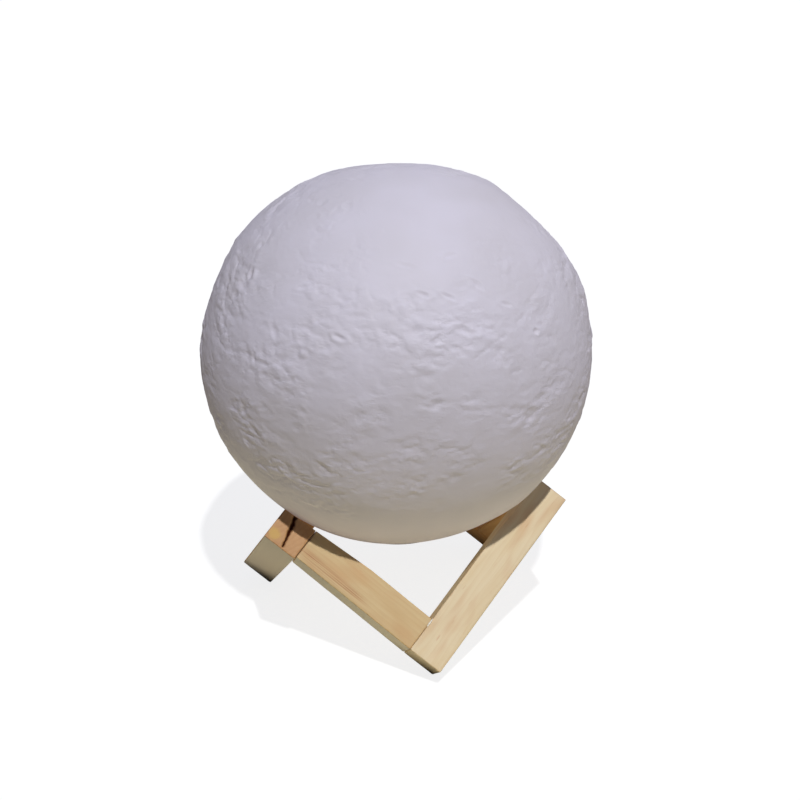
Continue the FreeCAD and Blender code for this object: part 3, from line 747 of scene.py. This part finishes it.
def block_grid(lines):
    """Points and four-sided faces over the six sides of a block, from its positions on each axis."""
    points, quads = [], []
    for axis in range(3):
        across, upward = (axis + 1) % 3, (axis + 2) % 3
        for end in (0, -1):
            grid = np.zeros((len(lines[across]), len(lines[upward]), 3))
            grid[..., axis] = lines[axis][end]
            grid[..., across] = lines[across][:, None]
            grid[..., upward] = lines[upward][None, :]
            start = sum(len(part) for part in points)
            number = start + np.arange(grid.shape[0] * grid.shape[1]).reshape(grid.shape[:2])
            corners = [number[:-1, :-1], number[1:, :-1], number[1:, 1:], number[:-1, 1:]]
            if end == 0:
                corners.reverse()
            points.append(grid.reshape(-1, 3))
            quads.append(np.stack(corners, axis=-1).reshape(-1, 4))
    kept, position = np.unique(np.round(np.concatenate(points), 5), axis=0, return_inverse=True)
    return kept, position.reshape(-1)[np.concatenate(quads)]


def ease_corners(points, half_sizes, ease):
    """Round a block's edges and corners, and give the way that each point faces."""
    inner = np.sign(points) * np.minimum(np.abs(points), half_sizes - ease[:, None])
    away = points - inner
    length = np.linalg.norm(away, axis=1)
    outside = length > ease
    eased = points.copy()
    eased[outside] = inner[outside] + away[outside] * (ease[outside] / length[outside])[:, None]
    return eased, away / length[:, None]


print(len(spaced(BAR_WIDTH, GRID_STEP)), "points across a bar")

# %% [markdown]
# Each bar is sawn from a board, so its grain is a slice through the rings of a
# tree. The grid keeps that slice: every vertex stores where it lay in the tree,
# with the fibres along the first axis and the heart of the tree beside the bar.
# The finish reads this, so the lines on the sides meet the rings on the ends.
# Marks are stored as well: the reddish streak along one bar, the crack through
# the knot in the end of another and the end grain. Beside them the sides that
# face down get a painted bluish light, some more than others, and a painted
# dark shade near the table. A crack that is only painted looks flat, so the
# vertices along it also sink into the wood.

# %% Marks in the wood
# bar, start and end along it, height above its lower edge and half width, in mm
STREAK = ("front_short", (28.0, 54.0), 3.4, 1.5)
# bar, start and end on its end as shares of its width, half width in mm
CRACK = ("left_long", (0.66, 1.0), (0.43, 0.08), 1.1)
CRACK_DEPTH = 0.8
# bar, middle on its end and radius, as shares of its width
KNOT = ("left_long", (0.82, 0.22), 0.20)
# how much painted bluish light a bar's downward sides keep, where it is less than on the other bars
PAINTED_LIGHT_KEPT = {"front_long": 0.5, "right_long": 0.1, "right_short": 0.1, "left_short": 0.1}
# how high above the table the painted shade on the downward sides reaches, in mm
TABLE_SHADE_HEIGHT = 16.0


def streak_along(points, length):
    """The reddish streak: how strong it is at each point of a bar's grid."""
    _, (start, end), level, width = STREAK
    place = points[:, 0] + length / 2
    along_bar = smooth_step(start - 9, start + 3, place) * (1 - smooth_step(end - 4, end + 4, place))
    wander = 0.8 * noise(points * (0.12, 1, 1), 3.0, 61)
    height = points[:, 2] + BAR_WIDTH / 2 - level + wander
    return along_bar * np.exp(-(height / width) ** 2)


def end_share(points, length):
    """Places on a bar's far end, as shares of its width, and which points lie on that end."""
    return points[:, 1:] / BAR_WIDTH + 0.5, smooth_step(length / 2 - 1.0, length / 2 - 0.3, points[:, 0])


def crack_depth(points, length):
    """How near each point is to the crack in the end, from 0 to 1."""
    _, start, end, width = CRACK
    share, on_end = end_share(points, length)
    start, end = np.array(start[::-1]), np.array(end[::-1])
    run = end - start
    share = share + 0.035 * np.stack([noise(points * (0, 1, 1), 3.2, seed) for seed in (72, 73)], axis=1)
    placed = np.clip((share - start) @ run / (run @ run), 0, 1)
    wander = 0.40 * noise(points * (0, 1, 1), 1.6, 71)
    apart = np.linalg.norm(share - start - placed[:, None] * run, axis=1) * BAR_WIDTH
    narrow = width * (1.0 - 0.35 * placed) + wander
    return on_end * (1 - smooth_step(0.35 * narrow, narrow, apart))


def knot_share(points, length):
    """How much each point lies in the knot beside the crack, from 0 to 1."""
    _, middle, radius = KNOT
    share, on_end = end_share(points, length)
    apart = np.linalg.norm(share - np.array(middle[::-1]), axis=1) + 0.04 * noise(points, 3, 81)
    return on_end * (1 - smooth_step(0.5 * radius, radius, apart))


print("a streak on", STREAK[0], "and a crack with a knot in the end of", CRACK[0])

# %% [markdown]
# Now a bar can be put together: a grid over a block, eased, slightly wavy from
# planing, with its marks. It is laid along its own edge of the cube. Then its
# foot corner is pushed flat at the level of the table, and the globe's seats are
# pushed flat where the bars meet at the top, as a plane cuts them on real wood.

# %% One bar
PLANING_WAVE = 0.003
PLUG_GAP = 0.15
SEAT_REACH = 40.0
TREE_STEP = 37.0


def bar_grid(name, length, seed):
    """Shaped points, their places in the sawn block, faces and marks of one bar."""
    across = spaced(BAR_WIDTH, GRID_STEP)
    block, faces = block_grid([spaced(length, LENGTH_STEP), across, across])
    ease = EDGE_EASE * (1 + 0.5 * noise(block, 14, seed) + 0.25 * noise(block, 3, seed + 1))
    half_sizes = np.array([length, BAR_WIDTH, BAR_WIDTH]) / 2
    shaped, faced = ease_corners(block, half_sizes, np.clip(ease, 0.2, 1.0))
    # planing leaves the sides very slightly wavy along the bar
    shaped[:, 1:] *= 1 - PLANING_WAVE * (1 + noise(block * (0.4, 1, 1), 9, seed + 2))[:, None]
    # every bar leans alike, so a side that faces down the block's three axes faces the table
    # sides that face down get a painted bluish light, standing for sky light on their shaded side
    marks = {"end_grain": smooth_step(length / 2 - 0.5, length / 2 - 0.2, np.abs(block[:, 0])),
             "underside": smooth_step(0.2, 0.9, -faced.sum(axis=1))}
    if name == STREAK[0]:
        marks["streak"] = streak_along(block, length)
    if name == CRACK[0]:
        marks["crack"] = crack_depth(block, length)
        marks["knot"] = knot_share(block, length)
        shaped[:, 0] -= CRACK_DEPTH * marks["crack"]
    return shaped, block, faces, marks


def press_flat(points, normal, level):
    """Push the points beyond a plane back to it, along its normal."""
    beyond = np.maximum(points @ normal - level, 0)
    return points - beyond[:, None] * normal


def bar_piece(name, length, corner, axes, seed, from_heart):
    """A bar from its lowest corner and its directions along, across and up."""
    shaped, block, faces, marks = bar_grid(name, length, seed)
    along, across, up = axes
    along = along + LEAN.get(name, 0.0) * up
    centred = shaped + (length / 2, BAR_WIDTH / 2, BAR_WIDTH / 2)
    placed = corner + centred[:, :1] * along + centred[:, 1:2] * across + centred[:, 2:] * up
    placed = press_flat(placed, np.array([0.0, 0.0, -1.0]), 0.0)
    # painted contact shade: the downward sides turn dark near the table
    marks["painted_table_shade"] = marks["underside"] * (1 - smooth_step(-1.0, TABLE_SHADE_HEIGHT, placed[:, 2]))
    # some bars keep less of the painted bluish light on their downward sides
    marks["underside"] = marks["underside"] * PAINTED_LIGHT_KEPT.get(name, 1.0)
    for heading in SEAT_HEADINGS:
        towards_globe = -direction(heading, seat_rise)
        from_seat = placed - (0, 0, globe_level) + towards_globe * GLOBE_RADIUS
        near = np.linalg.norm(from_seat, axis=1) < SEAT_REACH
        level = towards_globe[2] * globe_level - half_extent(seat_rise) - SEAT_GAP
        placed[near] = press_flat(placed[near], towards_globe, level)
    # the piece, with its place in the tree and its marks
    piece = mesh_piece(f"{name}_pine_bar", placed, faces, "stand")
    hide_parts(f"{name}_bar")
    in_tree = block + (TREE_STEP * seed, *from_heart)
    grain = piece.data.attributes.new("grain", "FLOAT_VECTOR", "POINT")
    grain.data.foreach_set("vector", in_tree.astype(np.float32).ravel())
    for mark, strengths in marks.items():
        stored = piece.data.attributes.new(mark, "FLOAT", "POINT")
        stored.data.foreach_set("value", strengths.astype(np.float32))
    return piece


print(f"a short bar ends {PLUG_GAP} mm before the bar that it plugs into")

# %% [markdown]
# Each bar comes from another place in a tree. How far it lay from the heart
# decides how its rings run: as nearly straight lines far out, and as tight
# curves close in. In the left long bar the heart lies just beside the bar.

# %% Build the six bars
# how far the middle of each bar lay from the heart of the tree, across and up, in mm
FROM_HEART = {
    "front_long": (60, 34), "front_short": (-14, 62), "right_long": (18, -50),
    "right_short": (34, 40), "left_long": (-6, -17), "left_short": (50, 12),
}


def build_bars():
    """A long and a short bar over each foot."""
    bars = {}
    for side, heading in FEET.items():
        first, second, third = cube_axes(heading)
        corner = foot_corner(heading)
        for kind, length, start, axes in (
                ("long", long_length, corner, (second, third, first)),
                ("short", SHORT_LENGTH - PLUG_GAP, corner + third * BAR_WIDTH, (third, first, second))):
            name = f"{side}_{kind}"
            bars[name] = bar_piece(name, length, start, axes, 5 + 10 * len(bars), FROM_HEART[name])
    return bars


bars = build_bars()

# %% [markdown]
# The short bar of the front pair is glued to its long bar, and a smear of white
# glue was squeezed out of the joint and dried there. It is a small bead along
# the seam, lumpy along its length, and its back half is sunk in the wood.

# %% Glue bead
BEAD_AT = 12.6
BEAD_LENGTH = 3.8
BEAD_RADIUS = 0.36
BEAD_ROWS = 25
BEAD_COLUMNS = 20


def build_glue_bead():
    """A lumpy bead along the seam of the front pair, as one closed mesh."""
    first, second, third = cube_axes(FEET["front"])
    seam = foot_corner(FEET["front"]) + BAR_WIDTH * (first + third) + BEAD_AT * second
    falls = np.linspace(0.05, math.pi - 0.05, BEAD_ROWS)
    turns = np.linspace(0, 2 * math.pi, BEAD_COLUMNS, endpoint=False)
    fall, turn = np.meshgrid(falls, turns, indexing="ij")
    ball = np.stack([np.cos(fall), np.sin(fall) * np.cos(turn), np.sin(fall) * np.sin(turn)], axis=-1)
    ball = ball.reshape(-1, 3)
    stretched = ball * (BEAD_LENGTH / 2, BEAD_RADIUS, BEAD_RADIUS)
    stretched[:, 1:] *= 1 + 0.5 * noise(stretched * (1, 0.3, 0.3), 0.8, 5)[:, None]
    points = seam + stretched[:, :1] * second + stretched[:, 1:2] * third + stretched[:, 2:] * first
    faces = band_faces(BEAD_ROWS, BEAD_COLUMNS)
    faces.append(tuple(range(BEAD_COLUMNS))[::-1])
    faces.append(tuple(range((BEAD_ROWS - 1) * BEAD_COLUMNS, BEAD_ROWS * BEAD_COLUMNS)))
    return mesh_piece("glue_bead", points, faces, "stand")


glue_bead = build_glue_bead()

# %% [markdown]
# ## The finish of the wood
# Bare planed pine is cream between the rings and a darker honey where the wood
# grew slowly in late summer. Those rings are about 2 mm apart. Finer than them
# are the fibres, long streaks along the bar, and here and there a blotch or a
# fleck of resin. Bare wood scatters light well and hardly shines.

# %% Growth rings
RING_SPACING = 1.9
RING_WANDER = 5.0


def stretched_noise(tree, grain, rates, detail=2.0):
    """Noise over the wood, from its rates of change per mm along the fibres and both ways across."""
    drawn = add_node(tree, "ShaderNodeVectorMath", {0: grain}, {1: rates}, operation="MULTIPLY")
    return add_node(tree, "ShaderNodeTexNoise", {"Vector": drawn.outputs[0]},
                    {"Scale": 1.0, "Detail": detail, "Roughness": 0.6}).outputs["Fac"]


def ring_saw(tree, grain):
    """Growth rings: 0 to 1 from the early wood of a year to its late wood."""
    parts = add_node(tree, "ShaderNodeSeparateXYZ", {"Vector": grain})
    across = add_node(tree, "ShaderNodeCombineXYZ", {"Y": parts.outputs["Y"], "Z": parts.outputs["Z"]})
    distance = add_node(tree, "ShaderNodeVectorMath", {0: across.outputs[0]}, operation="LENGTH")
    wander = stretched_noise(tree, grain, (0.025, 0.12, 0.12))
    bent = add_node(tree, "ShaderNodeMath", {0: wander, 2: distance.outputs["Value"]},
                    {1: RING_WANDER}, operation="MULTIPLY_ADD")
    years = add_node(tree, "ShaderNodeMath", {0: bent.outputs[0]}, {1: 1 / RING_SPACING},
                     operation="MULTIPLY")
    return add_node(tree, "ShaderNodeMath", {0: years.outputs[0]}, operation="FRACT").outputs[0]


print(f"a bar is {BAR_WIDTH / RING_SPACING:.1f} rings wide")

# %% [markdown]
# The finish is laid on in layers: rings, clouds of shade, blotches, fibres and
# flecks of resin, and over them what is stored in the bars. That is the end
# grain, a painted bluish light on the sides that face down, a painted dark shade
# on those sides near the table, the streak, the knot and the crack. Every
# layer is one value over the wood, turned to a share of one colour, so a single
# loop lays them all. The bars come from different boards: one is pale, one
# honey and four are brown. The brown is partly that board's own darker, redder
# tone and partly painted warm light, as bounced between the shaded bars under
# the globe.

# %% Pine
RING_CONTRAST = 0.34
RESIN = "#cf9560"
END_GRAIN = "#a9805a"
# painted bluish light on the sides that face down
PAINTED_SKY_TINT = "#dfdce8"
# painted dark shade on those sides near the table
PAINTED_TABLE_SHADE = "#1d120c"
STREAK_RED = "#b07345"
CRACK_DARK = "#3a180c"
KNOT_AMBER = "#d9b25c"
MARK_NAMES = ["end_grain", "underside", "painted_table_shade", "streak", "knot", "crack"]


def pine(name, early, late, fibre):
    """Bare pine, from the colours of its early wood, late wood and fibres."""
    material, tree = new_material(name)
    grain = add_node(tree, "ShaderNodeAttribute", attribute_name="grain").outputs["Vector"]
    # a mark is nothing on a bar that does not have it
    marks = {mark: add_node(tree, "ShaderNodeAttribute", attribute_name=mark).outputs["Fac"]
             for mark in MARK_NAMES}
    fibres = stretched_noise(tree, grain, (0.06, 2.6, 2.6), detail=4.0)
    # the streak follows the fibres, so it is broken up into lines
    lines = add_node(tree, "ShaderNodeMapRange",
                     {"Value": stretched_noise(tree, grain, (0.03, 1.9, 1.9), detail=3.0)},
                     {"From Min": 0.42, "From Max": 0.62})
    red_lines = add_node(tree, "ShaderNodeMath", {0: marks["streak"], 1: lines.outputs[0]},
                         operation="MULTIPLY")
    layers = [
        # value over the wood, where the colour starts and is full, how strong it is, colour
        (ring_saw(tree, grain), 0.35, 0.90, RING_CONTRAST, late),
        (stretched_noise(tree, grain, (0.035, 0.12, 0.12)), 0.42, 0.72, 0.75, late),
        (stretched_noise(tree, grain, (0.06, 0.20, 0.20), detail=1.0), 0.50, 0.74, 0.34, RESIN),
        (fibres, 0.50, 0.80, 0.27, fibre),
        (stretched_noise(tree, grain, (0.14, 0.7, 0.7), detail=1.0), 0.68, 0.80, 0.45, RESIN),
        (marks["end_grain"], 0.0, 1.0, 0.35, END_GRAIN),
        # painted bluish light on the downward sides
        (marks["underside"], 0.0, 1.0, 0.80, PAINTED_SKY_TINT),
        # painted shade on the downward sides near the table
        (marks["painted_table_shade"], 0.0, 1.0, 0.95, PAINTED_TABLE_SHADE),
        (red_lines.outputs[0], 0.0, 1.0, 1.00, STREAK_RED),
        (marks["knot"], 0.0, 1.0, 0.70, KNOT_AMBER),
        (marks["crack"], 0.0, 1.0, 1.00, CRACK_DARK),
    ]
    below = {}
    for value, start, full, most, swatch in layers:
        share = add_node(tree, "ShaderNodeMapRange", {"Value": value},
                         {"From Min": start, "From Max": full, "To Max": most})
        colour = add_node(tree, "ShaderNodeMix", {"Factor": share.outputs[0], **below},
                          {6: linear(early), 7: linear(swatch)}, data_type="RGBA").outputs[2]
        below = {6: colour}
    bump = add_node(tree, "ShaderNodeBump", {"Height": fibres}, {"Strength": 0.4, "Distance": 0.08 * MM})
    # nothing shines inside the crack or under the painted shade near the table
    dull = add_node(tree, "ShaderNodeMath", {0: marks["crack"], 1: marks["painted_table_shade"]}, operation="ADD")
    shine = add_node(tree, "ShaderNodeMapRange", {"Value": dull.outputs[0]},
                     {"From Min": 1.0, "From Max": 0.0, "To Max": 0.5})
    finish_material(tree, {"Base Color": colour, "Normal": bump.outputs["Normal"],
                           "Specular IOR Level": shine.outputs[0]},
                    {"Roughness": 0.58, "IOR": 1.5})
    return material


honey_pine = pine("planed_honey_pine", "#dbc08e", "#d0ad7a", "#c2996b")
pale_pine = pine("planed_pale_pine", "#ebd8b3", "#e2c99d", "#d2b382")
# the brown boards are partly their own darker, redder tone and partly painted warm light, bounced
# between the shaded bars under the globe
brown_pine_with_painted_bounce = pine("planed_brown_pine", "#deae78", "#c98f56", "#a8704a")
finish_of = {"front_long": pale_pine, "front_short": honey_pine}
for name, bar in bars.items():
    bar.data.materials.append(finish_of.get(name, brown_pine_with_painted_bounce))
    print(f"{name}: {bar.data.materials[0].name}")

# %% [markdown]
# ## The light unit
# The cup under the globe keeps its shape from the frame, so only its finish is
# made here. Moulded ABS has a fine even grain from the mould, which a bump of
# tiny noise gives. Metal is told by its brushing: noise drawn out one way.

# %% Plain finishes


def grained(name, swatch, roughness, grain_mm, depth_mm, values=None, stretch=(1, 1, 1), second=None):
    """A material with one fine grain, and a second shade where the grain is low."""
    material, tree = new_material(name)
    place = add_node(tree, "ShaderNodeTexCoord").outputs["Object"]
    drawn = add_node(tree, "ShaderNodeVectorMath", {0: place}, {1: stretch}, operation="MULTIPLY")
    texture = add_node(tree, "ShaderNodeTexNoise", {"Vector": drawn.outputs[0]},
                       {"Scale": per_mm(grain_mm), "Detail": 3.0})
    shade = add_node(tree, "ShaderNodeValToRGB", {"Fac": texture.outputs["Fac"]},
                     stops=[(0.3, second or swatch), (0.7, swatch)])
    bump = add_node(tree, "ShaderNodeBump", {"Height": texture.outputs["Fac"]},
                    {"Strength": 0.4, "Distance": depth_mm * MM})
    finish_material(tree, {"Base Color": shade.outputs["Color"], "Normal": bump.outputs["Normal"]},
                    {"Roughness": roughness, **(values or {})})
    return material


PLASTIC = {"IOR": 1.49}
METAL = {"Metallic": 1.0}

finishes = {
    # turned beech of the dowels: light brown and dull, with fine lines along it
    "beech": grained("turned_beech", "#c79a6b", 0.6, 0.6, 0.05, PLASTIC, (1, 1, 0.2), "#b88658"),
    # moulded ABS of the housing: even white with a soft sheen
    "white_plastic": grained("moulded_white_abs", "#e6e4de", 0.42, 0.5, 0.02, PLASTIC, second="#dfdcd5"),
    # frosted acrylic of the dome: milky, and light shows through it blurred
    "frosted_plastic": grained("frosted_acrylic", "#ecebe8", 0.55, 0.8, 0.03,
                               {"IOR": 1.49, "Transmission Weight": 0.35}),
    # clear polycarbonate of the status light: glossy and see-through
    "clear_plastic": grained("clear_polycarbonate", "#dfe6dc", 0.12, 2.0, 0.005,
                             {"IOR": 1.58, "Transmission Weight": 0.8}),
    # moulded nylon of the switch: near black, half dull
    "black_plastic": grained("black_nylon", "#1a1a1b", 0.45, 0.4, 0.02, PLASTIC, second="#141415"),
    # brushed steel of the button: fine lines all one way, and a broad shine
    "button_metal": grained("brushed_steel_cap", "#b8b8ba", 0.32, 0.25, 0.01, METAL,
                            (1, 0.04, 1), "#a9a9ac"),
    # drawn sheet of the socket: faint lines the way that it was drawn
    "socket_steel": grained("drawn_steel_sheet", "#a9a9aa", 0.3, 0.3, 0.01, METAL,
                            (1, 1, 0.05), "#9a9a9c"),
    # zinc on the screws: a little yellow and cloudy
    "screw_steel": grained("zinc_plated_steel", "#a2a19c", 0.34, 0.4, 0.02, METAL, second="#8e8d88"),
    # moulded silicone of the soft ring: dull grey that hardly shines
    "grey_rubber": grained("grey_silicone", "#5b5c5e", 0.75, 0.7, 0.04, {"IOR": 1.41}, second="#525355"),
    # solder mask on the board: glossy green over a slight texture
    "circuit_board": grained("green_solder_mask", "#1f5a36", 0.35, 1.4, 0.03, PLASTIC, second="#1a4e2e"),
    # cut foam of the pad: open cells that swallow the light
    "foam": grained("black_foam", "#2b2b2c", 0.9, 0.6, 0.15, PLASTIC, second="#1d1d1e"),
    # foil pouch of the battery: soft silver with faint creases
    "cell_foil": grained("battery_pouch_foil", "#c6c7ca", 0.38, 1.2, 0.04, METAL, second="#b6b7bb"),
    # white coat on the light board: smooth and bright, to throw the light forward
    "board_aluminium": grained("white_coated_board", "#e9e9e6", 0.4, 1.0, 0.02, PLASTIC,
                               second="#e2e2de"),
    # resin on the light chips: glossy yellow
    "chip_plastic": grained("phosphor_resin", "#e2b53f", 0.2, 0.5, 0.01, PLASTIC, second="#d8a730"),
    # extruded PVC of the leads: smooth and red
    "lead_plastic": grained("red_pvc", "#a5201c", 0.35, 0.6, 0.02, PLASTIC, second="#981b18"),
}

# dried glue on the bead: cream white, as smooth as a skin
glue_bead.data.materials.append(grained("dried_wood_glue", "#efeadd", 0.35, 0.6, 0.03, {"IOR": 1.47}))
print(len(finishes), "plain finishes, and one for the glue")

# %% Give the frame's own pieces their finish
slots = {entry["node"]: entry["material_slot"] for entry in frame["record"]["subparts"]}
dressed = 0
for node, piece in frame["nodes"].items():
    # the globe and the bars are replaced by pieces with a finish of their own
    if slots[node] not in finishes:
        continue
    piece.data.materials.clear()
    piece.data.materials.append(finishes[slots[node]])
    dressed += 1
print(dressed, "pieces of the frame have their finish")

# %% [markdown]
# ## Floor and light
# The lamp is shown on plain white paper, with a light soft shadow. But paper lit
# to full white would throw far too much light up at the lamp, whose undersides
# are warm and not bright. So the floor has two faces. The camera, and what is
# seen through clear plastic, gets white paper. All other rays, those that light
# the lamp or are mirrored in it, meet a cream floor that turns dark further
# out, because white all round would lay a pale veil over every surface.

# %% Floor
FLOOR_SIZE = 6.0
FLOOR_NEAR = "#f9eeb9"
FLOOR_FAR = "#303234"
NEAR_RADIUS = 0.12
FAR_RADIUS = 0.22
FLOOR_GLOW = 0.83
FLOOR_SHADOW_COLOUR = "#8c8c8b"


def seen_directly(tree):
    """One where a ray comes from the camera or through clear plastic, else zero."""
    path = add_node(tree, "ShaderNodeLightPath")
    return add_node(tree, "ShaderNodeMath", {0: path.outputs["Is Camera Ray"],
                                            1: path.outputs["Is Transmission Ray"]},
                    operation="MAXIMUM").outputs[0]


def white_paper():
    """The floor: white with a light shadow to the eye, cream and dark to all other rays."""
    material, tree = new_material("white_paper")
    spot = add_node(tree, "ShaderNodeNewGeometry").outputs["Position"]
    distance = add_node(tree, "ShaderNodeVectorMath", {0: spot}, operation="LENGTH").outputs["Value"]
    near = add_node(tree, "ShaderNodeMapRange", {"Value": distance},
                    {"From Min": FAR_RADIUS, "From Max": NEAR_RADIUS}).outputs[0]
    tint = add_node(tree, "ShaderNodeValToRGB", {"Fac": near},
                    stops=[(0.0, FLOOR_FAR), (1.0, FLOOR_NEAR)])
    for_light = add_node(tree, "ShaderNodeBsdfDiffuse", {"Color": tint.outputs["Color"]})
    for_eye = add_node(tree, "ShaderNodeBsdfDiffuse", values={"Color": linear(FLOOR_SHADOW_COLOUR)})
    glow = add_node(tree, "ShaderNodeEmission", values={"Strength": FLOOR_GLOW})
    lifted = add_node(tree, "ShaderNodeAddShader", {0: for_eye.outputs[0], 1: glow.outputs[0]})
    chosen = add_node(tree, "ShaderNodeMixShader", {0: seen_directly(tree), 1: for_light.outputs[0],
                                                   2: lifted.outputs[0]})
    add_node(tree, "ShaderNodeOutputMaterial", {"Surface": chosen.outputs[0]})
    return material


def lay_floor():
    """One large square at table height, part of the scene but not of the lamp."""
    half = FLOOR_SIZE / 2
    mesh = bpy.data.meshes.new("floor")
    mesh.from_pydata([(-half, -half, 0), (half, -half, 0), (half, half, 0), (-half, half, 0)], [],
                     [(0, 1, 2, 3)])
    floor = bpy.data.objects.new("floor", mesh)
    bpy.context.scene.collection.objects.link(floor)
    mesh.materials.append(white_paper())


lay_floor()
print(f"floor {FLOOR_SIZE:.0f} m square")

# %% [markdown]
# The shading of the globe tells where its light came from: a clear, fairly
# sharp light high in front, a wide soft light from the right, and a little blue
# from straight above, as from the sky. So there is one sun lamp, and the
# surroundings are bright on the right and blue at the top. They too are seen as
# plain white by the camera.

# %% Light
SKY_RIGHT = "#929093"
SKY_RIGHT_STRENGTH = 1.3
SKY_TOP = "#3c5189"
SKY_TOP_STRENGTH = 1.0
SUN_STRENGTH = 2.2
SUN_ANGLE = 1.5
SUN_HEADING = -92.0
SUN_RISE = 59.0


def light_scene():
    """The surroundings, white to the eye, and the sun."""
    world = bpy.data.worlds.new("studio")
    bpy.context.scene.world = world
    world.use_nodes = True
    tree = world.node_tree
    tree.nodes.clear()
    # the direction that a ray comes from: X is to the right of the lamp, Z is up
    ray = add_node(tree, "ShaderNodeTexCoord").outputs["Generated"]
    part = add_node(tree, "ShaderNodeSeparateXYZ", {"Vector": ray})
    rightness = add_node(tree, "ShaderNodeMath", {0: part.outputs["X"]}, {1: 0.0}, operation="MAXIMUM")
    from_right = add_node(tree, "ShaderNodeMath", {0: rightness.outputs[0]}, {1: SKY_RIGHT_STRENGTH},
                          operation="MULTIPLY")
    height = add_node(tree, "ShaderNodeMath", {0: part.outputs["Z"]}, {1: 2.0}, operation="POWER")
    from_top = add_node(tree, "ShaderNodeMath", {0: height.outputs[0]}, {1: SKY_TOP_STRENGTH},
                        operation="MULTIPLY")
    right_sky = add_node(tree, "ShaderNodeBackground", {"Strength": from_right.outputs[0]},
                         {"Color": linear(SKY_RIGHT)})
    top_sky = add_node(tree, "ShaderNodeBackground", {"Strength": from_top.outputs[0]},
                       {"Color": linear(SKY_TOP)})
    sky = add_node(tree, "ShaderNodeAddShader", {0: right_sky.outputs[0], 1: top_sky.outputs[0]})
    white = add_node(tree, "ShaderNodeBackground", values={"Color": (1, 1, 1, 1), "Strength": 1.0})
    chosen = add_node(tree, "ShaderNodeMixShader", {0: seen_directly(tree), 1: sky.outputs[0],
                                                   2: white.outputs[0]})
    add_node(tree, "ShaderNodeOutputWorld", {"Surface": chosen.outputs[0]})
    source = Vector(direction(SUN_HEADING, SUN_RISE))
    data = bpy.data.lights.new("key_light", "SUN")
    data.energy = SUN_STRENGTH
    data.angle = math.radians(SUN_ANGLE)
    lamp = bpy.data.objects.new("key_light", data)
    bpy.context.scene.collection.objects.link(lamp)
    lamp.rotation_mode = "QUATERNION"
    lamp.rotation_quaternion = source.to_track_quat("Z", "Y")


light_scene()
bpy.context.scene.view_settings.view_transform = "Standard"
print(f"sun from heading {SUN_HEADING:.0f} at {SUN_RISE:.0f} degrees")
